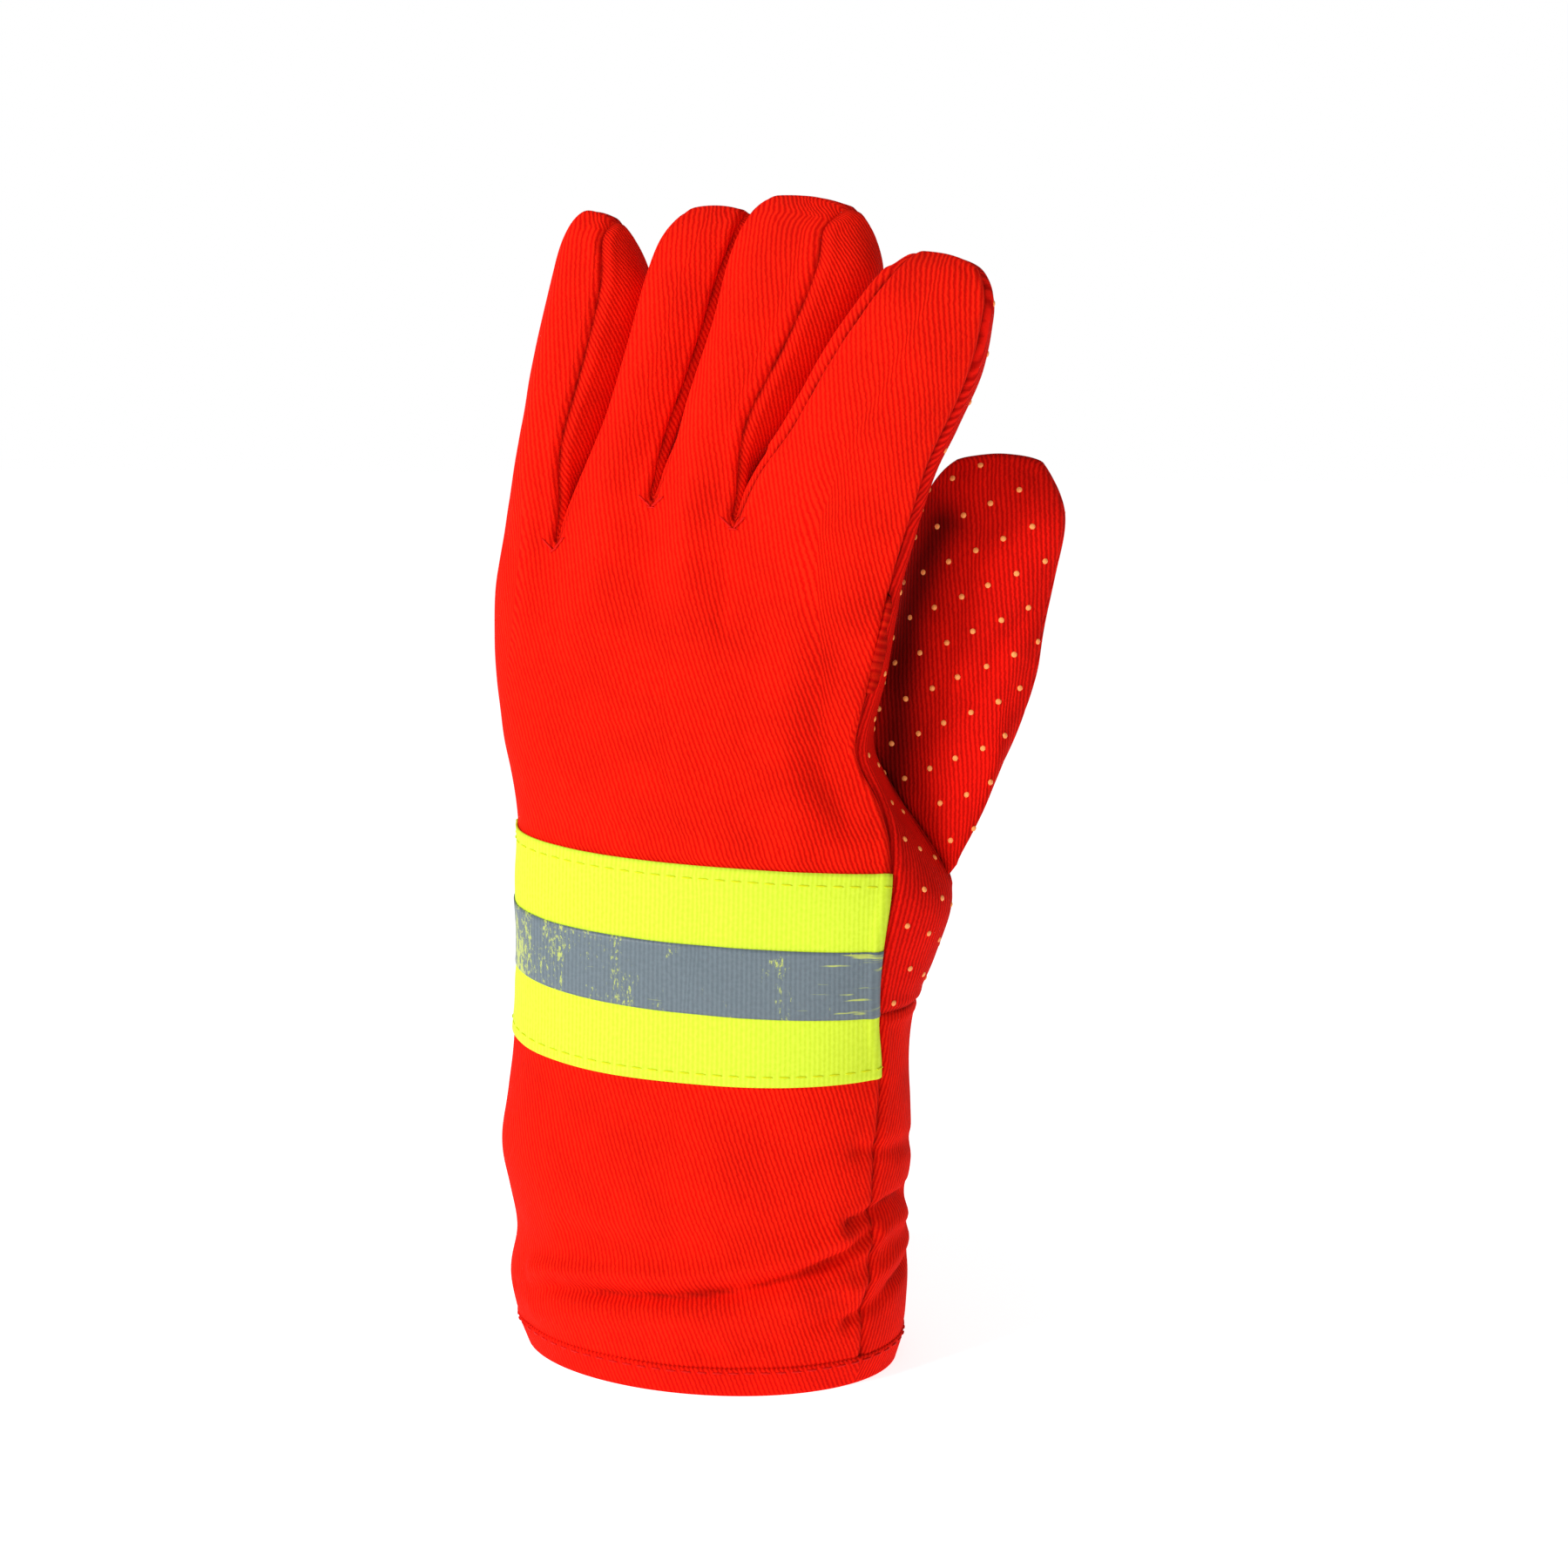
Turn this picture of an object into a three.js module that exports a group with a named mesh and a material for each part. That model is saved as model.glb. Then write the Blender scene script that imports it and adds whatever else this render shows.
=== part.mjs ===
// Firefighter glove for the left hand, standing on the hem of its cuff.
// Millimetres. +Z up to the fingertips, +X to the thumb, the back of the hand faces -Y.
import * as THREE from "three";

// Named sizes
const LENGTH = 300; // hem to fingertips, the tables' heights are per cent of it
const WIDTH = 100; // across the cuff, the tables' x values are per cent of it
const DEPTH = 72; // back to palm at the cuff, the tables' y values are per cent of it
const WALL = 1.8; // cotton cloth
const SEAM_GAP = 0.3; // clearance between two sewn panels
const HEM_DEPTH = 8; // turned hem at the cuff mouth
const HEM_EXTRA = 0.7; // the turned hem stands proud of the cuff
const TAPE_LIFT = 0.25; // clearance under the reflective tape
const TAPE_THICK = 0.6;
const SILVER_LIFT = 0.2;
const SILVER_THICK = 0.4;
const TAPE_INSET = 0.6; // the tape ends short of the side seams
const STRIP_COLUMNS = 4; // mesh columns across one finger
const SIDE_COLUMNS = 2; // mesh columns across one side strip
const FINGER_ROWS = 10;
const THUMB_ROWS = 10;
const COLUMNS = 4 * STRIP_COLUMNS;

// In the tables z, zl, zr, little, index and dip are heights, x, xl, xr, left and right lie
// across, front, rear, depth, y and turn lie from back to palm; t and s are shares.
const UNITS = {
  z: LENGTH, zl: LENGTH, zr: LENGTH, little: LENGTH, index: LENGTH, dip: LENGTH,
  x: WIDTH, xl: WIDTH, xr: WIDTH, left: WIDTH, right: WIDTH,
  front: DEPTH, rear: DEPTH, depth: DEPTH, y: DEPTH, turn: DEPTH,
};
function sized(rows) {
  const inMillimetres = ([key, value]) => [key, (value * (UNITS[key] ?? 100)) / 100];
  return rows.map((row) => Object.fromEntries(Object.entries(row).map(inMillimetres)));
}

// Sections of hand and cuff: outline left and right, half depth to front and rear,
// the angle of the index side seam in front of the section's right end, and how square the
// section's superellipse is.
const BODY = sized([
  { z: 0, left: -50.2, right: 49, front: 47.92, rear: 50, seam: 30, square: 2 },
  { z: 2.67, left: -53, right: 51.4, front: 50, rear: 51.39, seam: 30, square: 2 },
  { z: 6, left: -55.2, right: 52.2, front: 50, rear: 50.69, seam: 30, square: 2.05 },
  { z: 10, left: -53, right: 52, front: 46.53, rear: 48.61, seam: 28, square: 2.1 },
  { z: 14, left: -55, right: 51.2, front: 47.22, rear: 47.22, seam: 24, square: 2.1 },
  { z: 18, left: -57.2, right: 52.8, front: 45.83, rear: 45.83, seam: 27, square: 2.15 },
  { z: 22.67, left: -55, right: 52.6, front: 43.06, rear: 43.75, seam: 25, square: 2.2 },
  { z: 27.33, left: -53, right: 52.4, front: 40.97, rear: 41.67, seam: 21, square: 2.2 },
  { z: 31.67, left: -51.8, right: 53.8, front: 39.58, rear: 41.67, seam: 23, square: 2.25 },
  { z: 36, left: -51.2, right: 58.8, front: 38.19, rear: 42.36, seam: 29, square: 2.25 },
  { z: 41.33, left: -51.8, right: 63, front: 36.11, rear: 42.36, seam: 32, square: 2.25 },
  { z: 45.33, left: -51.4, right: 56.5, front: 34.03, rear: 40.28, seam: 23, square: 2.25 },
  { z: 49.33, left: -52.6, right: 48.8, front: 31.94, rear: 37.5, seam: 16, square: 2.25 },
  { z: 53.67, left: -55, right: 42.4, front: 29.17, rear: 33.33, seam: 18, square: 2.3 },
  { z: 60, left: -56.8, right: 46.4, front: 25.69, rear: 28.47, seam: 18, square: 2.3 },
  { z: 66, left: -56.4, right: 49.6, front: 22.92, rear: 25, seam: 17, square: 2.3 },
  { z: 70, left: -54.4, right: 52.4, front: 20.83, rear: 22.22, seam: 17, square: 2.3 },
  { z: 75.33, left: -51.6, right: 57, front: 19.44, rear: 20.83, seam: 17, square: 2.3 },
]);

// Mesh rows up the hand: height at the little finger seam and at the index seam, and how far
// the row hangs lower at the middle of the back.
const HEM_SHARE = (100 * HEM_DEPTH) / LENGTH;
const ROWS = sized([
  { little: 0, index: 0, dip: 0 },
  { little: HEM_SHARE, index: HEM_SHARE, dip: 0 },
  { little: 6.67, index: 6.67, dip: 0 },
  { little: 10.33, index: 10.33, dip: 0.17 },
  { little: 14.33, index: 14, dip: 0.33 },
  { little: 18.67, index: 18, dip: 0.53 },
  { little: 23.33, index: 22.17, dip: 0.73 },
  { little: 28.5, index: 26.67, dip: 0.93 },
  { little: 34.67, index: 32, dip: 0.73 },
  { little: 40, index: 37.83, dip: 0.53 },
  { little: 46.17, index: 43.83, dip: 0.33 },
  { little: 48.67, index: 46.5, dip: 0.2 },
  { little: 51.5, index: 49.17, dip: 0.1 },
  { little: 54.33, index: 52, dip: 0 },
  { little: 57.33, index: 55, dip: 0 },
  { little: 61.33, index: 59.67, dip: 0 },
  { little: 65.67, index: 65.67, dip: 0 },
  { little: 69.67, index: 72.33, dip: 0 },
]);
const ROW = {
  hem: 1,
  palm: 8,
  tapeLow: 7,
  silverLow: 8,
  silverHigh: 9,
  tapeHigh: 10,
  thumbLow: 10,
  thumbHigh: 14,
};
const TOP = ROWS.length - 1;
const KNUCKLE_START = 0.47 * LENGTH; // above it the columns turn towards the gaps of the fingers
const KNUCKLE_REACH = 0.23 * LENGTH;
const LAST_ROW = 14; // height of the last row below the gaps

// Foot of each gap between two fingers, and the two ends of the knuckle line.
const KNUCKLE = sized([
  { s: 0, x: -54.6, z: 69.5 },
  { s: 1, x: -37.6, z: 70.5 },
  { s: 2, x: -11.4, z: 74.33 },
  { s: 3, x: 9.8, z: 72.67 },
  { s: 4, x: 52.4, z: 72.33 },
]);
const VALLEY = 3.2; // depth of the hollow between two knuckles

// Hole of the thumb in the palm: mesh columns and rows.
const THUMB_HOLE = {
  front: 3 * STRIP_COLUMNS + 1,
  rear: 2 * STRIP_COLUMNS + 1,
  low: ROW.thumbLow,
  high: ROW.thumbHigh,
};
const THUMB_DROP = 5; // the hole's lower edge hangs below the mesh row

// Fingers: left and right edge of each section, its half depth and middle in y.
const FINGERS = [
  {
    name: "little",
    seams: { backLeft: -90, backRight: 8, palmRight: 125, palmLeft: 270 },
    square: 2.3,
    rows: sized([
      { t: 0.0, xl: -54.6, zl: 69.5, xr: -38, zr: 70.5, depth: 17.36, y: 0, turn: -1.39 },
      { t: 0.2, xl: -51.2, zl: 74.67, xr: -31.8, zr: 75.67, depth: 16.67, y: 0.69, turn: -4.17 },
      { t: 0.42, xl: -46.8, zl: 81, xr: -24.4, zr: 81.33, depth: 15.97, y: 1.39, turn: -5.56 },
      { t: 0.64, xl: -42.4, zl: 87.67, xr: -18.6, zr: 87.33, depth: 14.58, y: 2.08, turn: -5.56 },
      { t: 0.8, xl: -39, zl: 92.33, xr: -16.4, zr: 91.67, depth: 12.5, y: 2.78, turn: -4.17 },
      { t: 0.9, xl: -36.4, zl: 95.53, xr: -18.8, zr: 94.53, depth: 9.44, y: 2.78, turn: -2.78 },
      { t: 0.97, xl: -32.6, zl: 97.27, xr: -22.4, zr: 96.33, depth: 5, y: 2.78, turn: -1.39 },
      { t: 1.0, xl: -29.8, zl: 97.8, xr: -25, zr: 97.27, depth: 0, y: 2.78, turn: 0 },
    ]),
  },
  {
    name: "ring",
    seams: { backLeft: -66, backRight: 46, palmRight: 132, palmLeft: 238 },
    square: 2.4,
    rows: sized([
      { t: 0.0, xl: -37.2, zl: 70.5, xr: -11.8, zr: 74.33, depth: 18.06, y: -1.39, turn: -1.39 },
      { t: 0.2, xl: -30.8, zl: 75.67, xr: -8.8, zr: 77.67, depth: 17.36, y: -0.69, turn: -4.17 },
      { t: 0.42, xl: -23.6, zl: 81.33, xr: -3, zr: 82.67, depth: 16.67, y: 0, turn: -5.56 },
      { t: 0.64, xl: -17.8, zl: 87.33, xr: 2.8, zr: 88, depth: 15.97, y: 0.69, turn: -5.56 },
      { t: 0.8, xl: -14.2, zl: 92.33, xr: 6.8, zr: 92.33, depth: 13.89, y: 1.39, turn: -4.17 },
      { t: 0.9, xl: -10.6, zl: 95.47, xr: 10.4, zr: 95.33, depth: 10.28, y: 1.39, turn: -2.78 },
      { t: 0.97, xl: -5.6, zl: 97.13, xr: 11.2, zr: 96.93, depth: 5.56, y: 1.39, turn: -1.39 },
      { t: 1.0, xl: -1.6, zl: 97.73, xr: 9.4, zr: 97.67, depth: 0, y: 1.39, turn: 0 },
    ]),
  },
  {
    name: "middle",
    seams: { backLeft: -78, backRight: 12, palmRight: 112, palmLeft: 210 },
    square: 2.4,
    rows: sized([
      { t: 0.0, xl: -11, zl: 74.33, xr: 9.2, zr: 72.67, depth: 18.75, y: -1.39, turn: -1.39 },
      { t: 0.2, xl: -6, zl: 78.33, xr: 15.4, zr: 77, depth: 18.06, y: -0.69, turn: -4.86 },
      { t: 0.42, xl: -1.6, zl: 83.33, xr: 25.8, zr: 82, depth: 18.06, y: 0, turn: -6.94 },
      { t: 0.64, xl: 4, zl: 89, xr: 35.8, zr: 87.33, depth: 17.36, y: 0.69, turn: -6.94 },
      { t: 0.8, xl: 7.4, zl: 93.87, xr: 42.6, zr: 91.87, depth: 15.28, y: 1.39, turn: -5.56 },
      { t: 0.9, xl: 10.6, zl: 96.73, xr: 42.4, zr: 94.33, depth: 11.67, y: 1.39, turn: -2.78 },
      { t: 0.97, xl: 15.2, zl: 98.13, xr: 39, zr: 96.8, depth: 6.39, y: 1.39, turn: -1.39 },
      { t: 1.0, xl: 20, zl: 98.73, xr: 34.2, zr: 98.33, depth: 0, y: 1.39, turn: 0 },
    ]),
  },
  {
    name: "index",
    seams: { backLeft: -82, backRight: 64, palmRight: 64, palmLeft: 215 },
    square: 2.4,
    rows: sized([
      { t: 0.0, xl: 10.6, zl: 72.67, xr: 53.6, zr: 72.33, depth: 19.44, y: -2.08, turn: -1.39 },
      { t: 0.2, xl: 15.8, zl: 76.8, xr: 57.8, zr: 76.13, depth: 18.75, y: -4.17, turn: -3.47 },
      { t: 0.42, xl: 24.8, zl: 81.2, xr: 63.8, zr: 80.33, depth: 18.06, y: -5.56, turn: -5.56 },
      { t: 0.64, xl: 34.6, zl: 86.47, xr: 68.8, zr: 84.33, depth: 16.67, y: -6.25, turn: -6.25 },
      { t: 0.8, xl: 42.2, zl: 90.27, xr: 71.4, zr: 88, depth: 14.58, y: -5.56, turn: -4.86 },
      { t: 0.9, xl: 47.4, zl: 92.33, xr: 72, zr: 90.2, depth: 10.83, y: -4.86, turn: -2.78 },
      { t: 0.97, xl: 52.4, zl: 93.53, xr: 69.6, zr: 92, depth: 5.83, y: -4.17, turn: -1.39 },
      { t: 1.0, xl: 56.8, zl: 94, xr: 65.2, zr: 93.27, depth: 0, y: -4.17, turn: 0 },
    ]),
  },
];
const FINGER_FADE = 0.4; // share of a finger over which it takes on its own section
const TIP_START = 0.72; // from here the side strips narrow to the tip seam
const TIP_SHARE = 0.55;

const THUMB = {
  square: 2.3,
  rows: sized([
    { t: 0.0, xl: 38.5, zl: 53.67, xr: 59.5, zr: 42, depth: 13.89, y: 23.61, turn: 0 },
    { t: 0.16, xl: 39.5, zl: 57.33, xr: 72.4, zr: 49.8, depth: 15.28, y: 27.78, turn: 2.78 },
    { t: 0.34, xl: 41.5, zl: 61.33, xr: 78.6, zr: 56.87, depth: 15.28, y: 31.25, turn: 4.17 },
    { t: 0.54, xl: 43.5, zl: 65.67, xr: 81.4, zr: 63.33, depth: 14.58, y: 33.33, turn: 4.17 },
    { t: 0.72, xl: 46, zl: 70, xr: 84.4, zr: 68.67, depth: 13.19, y: 34.03, turn: 2.78 },
    { t: 0.86, xl: 49.6, zl: 73.67, xr: 86, zr: 72.87, depth: 10.28, y: 34.03, turn: 1.39 },
    { t: 0.95, xl: 55.6, zl: 76.47, xr: 82.6, zr: 75.73, depth: 5.83, y: 33.33, turn: 0 },
    { t: 1.0, xl: 62.6, zl: 77.67, xr: 78, zr: 78.07, depth: 0, y: 33.33, turn: 0 },
  ]),
};
const THUMB_FADE = 0.42;

// Large soft dents: centre, reach and depth of the push in mm, pushed in along the surface normal.
const DENTS = sized([
  { x: 34, y: -19.5, z: 56, reach: 14, push: 2.2 }, // below the index knuckle
  { x: 46, y: -14, z: 47.3, reach: 11, push: 1.6 }, // at the thumb seam
  { x: 0, y: -51.4, z: 10.3, reach: 14, push: 1.2 }, // slump fold of the cuff
  { x: -34, y: -39, z: 10.3, reach: 14, push: 1.2 },
  { x: 30, y: -43, z: 11, reach: 13, push: 1.4 },
]);

const clamp = (v, low, high) => Math.min(high, Math.max(low, v));
const mix = (a, b, t) => a + (b - a) * t;
const smooth = (t) => {
  const c = clamp(t, 0, 1);
  return c * c * (3 - 2 * c);
};
const radians = (degrees) => (degrees * Math.PI) / 180;
const power = (v, e) => Math.sign(v) * Math.abs(v) ** e;

// Smooth curve through one column of a table.
function along(rows, key, column, at) {
  const last = rows.length - 1;
  let i = 0;
  while (i < last - 1 && at > rows[i + 1][key]) i += 1;
  const slope = (k) => {
    const a = Math.max(0, k - 1);
    const b = Math.min(last, k + 1);
    return (rows[b][column] - rows[a][column]) / (rows[b][key] - rows[a][key]);
  };
  const span = rows[i + 1][key] - rows[i][key];
  const t = clamp((at - rows[i][key]) / span, 0, 1);
  const t2 = t * t;
  const t3 = t2 * t;
  const start = (2 * t3 - 3 * t2 + 1) * rows[i][column] + (t3 - 2 * t2 + t) * span * slope(i);
  return start + (3 * t2 - 2 * t3) * rows[i + 1][column] + (t3 - t2) * span * slope(i + 1);
}

function section(z) {
  const left = along(BODY, "z", "left", z);
  const right = along(BODY, "z", "right", z);
  return {
    middle: (left + right) / 2,
    half: (right - left) / 2,
    front: along(BODY, "z", "front", z),
    rear: along(BODY, "z", "rear", z),
    seam: along(BODY, "z", "seam", z),
    square: along(BODY, "z", "square", z),
  };
}

// Angle round the section: s runs 0 to 4 from the little finger seam to the index seam.
function angleAt(side, s, z, shape) {
  const even = side === "back" ? -180 + (180 - shape.seam) * (s / 4) : 180 - (180 + shape.seam) * (s / 4);
  const share = smooth((z - KNUCKLE_START) / KNUCKLE_REACH);
  if (share === 0) return even;
  const x = along(KNUCKLE, "s", "x", s);
  const across = clamp((x - shape.middle) / shape.half, -1, 1);
  const bend = (Math.acos(power(across, shape.square / 2)) * 180) / Math.PI;
  let knuckle = side === "back" ? -bend : bend;
  if (s <= 0.5) knuckle = mix(side === "back" ? -180 : 180, knuckle, s / 0.5);
  if (s >= 3.5) knuckle = mix(-shape.seam, knuckle, (4 - s) / 0.5);
  return mix(even, knuckle, share);
}

function heightAt(side, s, row) {
  const base = mix(ROWS[row].little, ROWS[row].index, s / 4);
  if (row === TOP) return along(KNUCKLE, "s", "z", s);
  if (row === TOP - 1) return mix(base, along(KNUCKLE, "s", "z", s) - LAST_ROW, 0.6);
  if (side === "back") return base - ROWS[row].dip * Math.sin((Math.PI * s) / 4);
  const drop = THUMB_DROP * smooth((4 - s) / 0.7) * smooth((s - 1) / 1.2);
  const near = 1 - clamp(Math.abs(row - ROW.thumbLow) / 3, 0, 1);
  return base - drop * smooth(near);
}

function handPoint(side, s, row) {
  const z = heightAt(side, s, row);
  const shape = section(z);
  const angle = radians(angleAt(side, s, z, shape));
  const c = Math.cos(angle);
  const d = Math.sin(angle);
  const depth = d < 0 ? shape.front : shape.rear;
  const x = shape.middle + shape.half * power(c, 2 / shape.square);
  let y = depth * power(d, 2 / shape.square);
  const near = Math.min(Math.abs(s - 1), Math.abs(s - 2), Math.abs(s - 3));
  const valley = VALLEY * (1 - smooth(near / 0.5)) * smooth((z - 0.593 * LENGTH) / (0.133 * LENGTH));
  y -= Math.sign(y) * valley;
  return new THREE.Vector3(x, y, z);
}

// A flattened tube between two edge lines, from a table of sections.
function tubePoint(shape, angle, t) {
  const value = (column) => along(shape.rows, "t", column, t);
  const a = radians(angle);
  const across = power(Math.sin(a), 2 / shape.square);
  const deep = -power(Math.cos(a), 2 / shape.square);
  const xl = value("xl");
  const xr = value("xr");
  const zl = value("zl");
  const zr = value("zr");
  const crown = Math.max(0, (t - 0.8) / 0.2) ** 2 * Math.hypot(xr - xl, zr - zl) * 0.06;
  return new THREE.Vector3(
    (xl + xr) / 2 + (across * (xr - xl)) / 2,
    value("y") + deep * value("depth") - across * value("turn"),
    (zl + zr) / 2 + (across * (zr - zl)) / 2 + crown * (1 - across * across),
  );
}

// Shared surface of the whole glove: points by key, faces by panel.
const keys = new Map();
const points = [];
const faces = [];

function vertex(key, make) {
  if (!keys.has(key)) {
    keys.set(key, points.length);
    points.push(make());
  }
  return keys.get(key);
}

function face(panel, corners) {
  const ring = corners.filter((c, i) => c !== corners[(i + 1) % corners.length]);
  if (ring.length > 2) faces.push({ panel, ring });
}

function handVertex(side, column, row) {
  const seam = column === 0 || column === COLUMNS;
  const key = `hand ${seam ? "seam" : side} ${column} ${row}`;
  return vertex(key, () => handPoint(side, column / STRIP_COLUMNS, row));
}

function inHole(column, row) {
  const h = THUMB_HOLE;
  return column >= h.rear && column < h.front && row >= h.low && row < h.high;
}

for (let row = 0; row < TOP; row += 1) {
  for (let column = 0; column < COLUMNS; column += 1) {
    const cuff = row < ROW.hem ? "cuff_hem" : "";
    face(cuff || "back_panel", [
      handVertex("back", column, row),
      handVertex("back", column + 1, row),
      handVertex("back", column + 1, row + 1),
      handVertex("back", column, row + 1),
    ]);
    if (inHole(column, row)) continue;
    face(cuff || (row < ROW.palm ? "palm_cuff" : "palm_panel"), [
      handVertex("palm", column + 1, row),
      handVertex("palm", column, row),
      handVertex("palm", column, row + 1),
      handVertex("palm", column + 1, row + 1),
    ]);
  }
}

// Fingers: each ring runs back, right side, palm, left side.
const SIDES = ["fourchette_little_ring", "fourchette_ring_middle", "fourchette_middle_index"];

function crotchVertex(gap, step) {
  const column = gap * STRIP_COLUMNS;
  if (step === 0) return handVertex("back", column, TOP);
  if (step === SIDE_COLUMNS) return handVertex("palm", column, TOP);
  return vertex(`crotch ${gap} ${step}`, () => {
    const front = points[handVertex("back", column, TOP)];
    const rear = points[handVertex("palm", column, TOP)];
    return front.clone().lerp(rear, step / SIDE_COLUMNS).add(new THREE.Vector3(0, 0, 1.5));
  });
}

// One finger's ring as a list of steps: panel, angle and the vertex it stands on.
function fingerRing(index) {
  const { seams } = FINGERS[index];
  const first = index * STRIP_COLUMNS;
  const ring = [];
  // the seams leave their own angles for the goals towards the tip
  const strip = (panel, from, to, goals, steps, base, tip) => {
    for (let i = 0; i < steps; i += 1) {
      const angle = mix(from, to, i / steps);
      const goal = mix(goals[0], goals[1], i / steps);
      ring.push({ panel, angle, goal, base: base(i), tip: tip(i) });
    }
  };
  const last = first + STRIP_COLUMNS;
  const { backLeft, backRight, palmRight, palmLeft } = seams;
  const back = (i) => handVertex("back", first + i, TOP);
  const palm = (i) => handVertex("palm", last - i, TOP);
  const rightGap = (i) => crotchVertex(index + 1, i);
  const leftGap = (i) => crotchVertex(index, SIDE_COLUMNS - i);
  strip("back_panel", backLeft, backRight, [-90, 90], STRIP_COLUMNS, back, (i) => i);
  if (index < 3)
    strip(SIDES[index], backRight, palmRight, [90, 90], SIDE_COLUMNS, rightGap, () => STRIP_COLUMNS);
  strip("palm_panel", palmRight, palmLeft, [90, 270], STRIP_COLUMNS, palm, (i) => STRIP_COLUMNS - i);
  if (index > 0)
    strip(SIDES[index - 1], palmLeft, backLeft + 360, [270, 270], SIDE_COLUMNS, leftGap, () => 0);
  return ring;
}

function ringOffset(shape, angle, base) {
  return points[base].clone().sub(tubePoint(shape, angle, 0));
}

const spread = (row, rows) => {
  const t = row / rows;
  return t + 0.19 * Math.sin(Math.PI * t) * t; // rows closer together at the tip
};

for (let index = 0; index < 4; index += 1) {
  const shape = FINGERS[index];
  const ring = fingerRing(index);
  const at = (step, row) => {
    const { angle, goal, base, tip } = ring[step % ring.length];
    if (row === 0) return base;
    const key = row === FINGER_ROWS ? `tip ${index} ${tip}` : `finger ${index} ${step % ring.length} ${row}`;
    return vertex(key, () => {
      const t = spread(row, FINGER_ROWS);
      if (row === FINGER_ROWS) {
        const across = (tip / STRIP_COLUMNS) * 2 - 1;
        return tubePoint(shape, (Math.asin(power(across, shape.square / 2)) * 180) / Math.PI, 1);
      }
      const keep = 1 - smooth(t / FINGER_FADE);
      const turned = mix(angle, goal, TIP_SHARE * smooth((t - TIP_START) / (1 - TIP_START)));
      return tubePoint(shape, turned, t).add(ringOffset(shape, angle, base).multiplyScalar(keep));
    });
  };
  for (let row = 0; row < FINGER_ROWS; row += 1)
    for (let step = 0; step < ring.length; step += 1)
      face(ring[step].panel, [at(step, row), at(step + 1, row), at(step + 1, row + 1), at(step, row + 1)]);
}

// Thumb: its ring runs round the hole, anticlockwise as seen from outside.
const hole = [];
for (let c = THUMB_HOLE.front; c > THUMB_HOLE.rear; c -= 1) hole.push([c, THUMB_HOLE.low]);
for (let r = THUMB_HOLE.low; r < THUMB_HOLE.high; r += 1) hole.push([THUMB_HOLE.rear, r]);
for (let c = THUMB_HOLE.rear; c < THUMB_HOLE.front; c += 1) hole.push([c, THUMB_HOLE.high]);
for (let r = THUMB_HOLE.high; r > THUMB_HOLE.low; r -= 1) hole.push([THUMB_HOLE.front, r]);
const around = hole.length;
const half = around / 2;
const outerSeam = (THUMB_HOLE.front - THUMB_HOLE.rear) / 2;

for (let row = 0; row < THUMB_ROWS; row += 1) {
  const at = (step, r) => {
    const place = (outerSeam + step) % around;
    const angle = 90 + (360 * step) / around;
    const base = handVertex("palm", hole[place][0], hole[place][1]);
    if (r === 0) return base;
    const wrapped = step % around;
    const tip = Math.min(wrapped, around - wrapped);
    const key = r === THUMB_ROWS ? `thumb tip ${tip}` : `thumb ${wrapped} ${r}`;
    return vertex(key, () => {
      const t = spread(r, THUMB_ROWS);
      if (r === THUMB_ROWS) {
        const across = 1 - (2 * tip) / half;
        return tubePoint(THUMB, (Math.asin(power(across, THUMB.square / 2)) * 180) / Math.PI, 1);
      }
      const keep = 1 - smooth(t / THUMB_FADE);
      return tubePoint(THUMB, angle, t).add(ringOffset(THUMB, angle, base).multiplyScalar(keep));
    });
  };
  for (let step = 0; step < around; step += 1)
    face(step < half ? "thumb_rear" : "thumb_front", [
      at(step, row),
      at(step + 1, row),
      at(step + 1, row + 1),
      at(step, row + 1),
    ]);
}

// Outward direction of each point: the offset that keeps the wall's thickness.
function normalOf(ring) {
  const n = new THREE.Vector3();
  for (let i = 0; i < ring.length; i += 1) {
    const a = points[ring[i]];
    const b = points[ring[(i + 1) % ring.length]];
    n.add(new THREE.Vector3((a.y - b.y) * (a.z + b.z), (a.z - b.z) * (a.x + b.x), (a.x - b.x) * (a.y + b.y)));
  }
  return n.normalize();
}

// Each panel that meets at a point counts once, so a seam's offset halves its fold.
function outwardDirections() {
  const meeting = points.map(() => new Map());
  for (const { panel, ring } of faces) {
    const n = normalOf(ring);
    for (const v of ring) {
      if (!meeting[v].has(panel)) meeting[v].set(panel, new THREE.Vector3());
      meeting[v].get(panel).add(n);
    }
  }
  return meeting.map((panels) => {
    const sides = [...panels.values()].map((n) => n.normalize());
    const sum = new THREE.Vector3();
    for (const n of sides) sum.add(n);
    sum.normalize();
    const least = Math.min(...sides.map((n) => n.dot(sum)));
    return sum.multiplyScalar(1 / clamp(least, 0.7, 1));
  });
}

let outward = outwardDirections();
points.forEach((p, v) => {
  let push = 0;
  for (const dent of DENTS) {
    const away = Math.hypot(p.x - dent.x, p.y - dent.y, p.z - dent.z) / dent.reach;
    push += dent.push * (1 - smooth(away));
  }
  if (push > 0) p.addScaledVector(outward[v], -push);
});
outward = outwardDirections();
points.forEach((p, v) => {
  if (p.z < 1e-6) outward[v].z = 0; // the mouth's edge stays level
});

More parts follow.
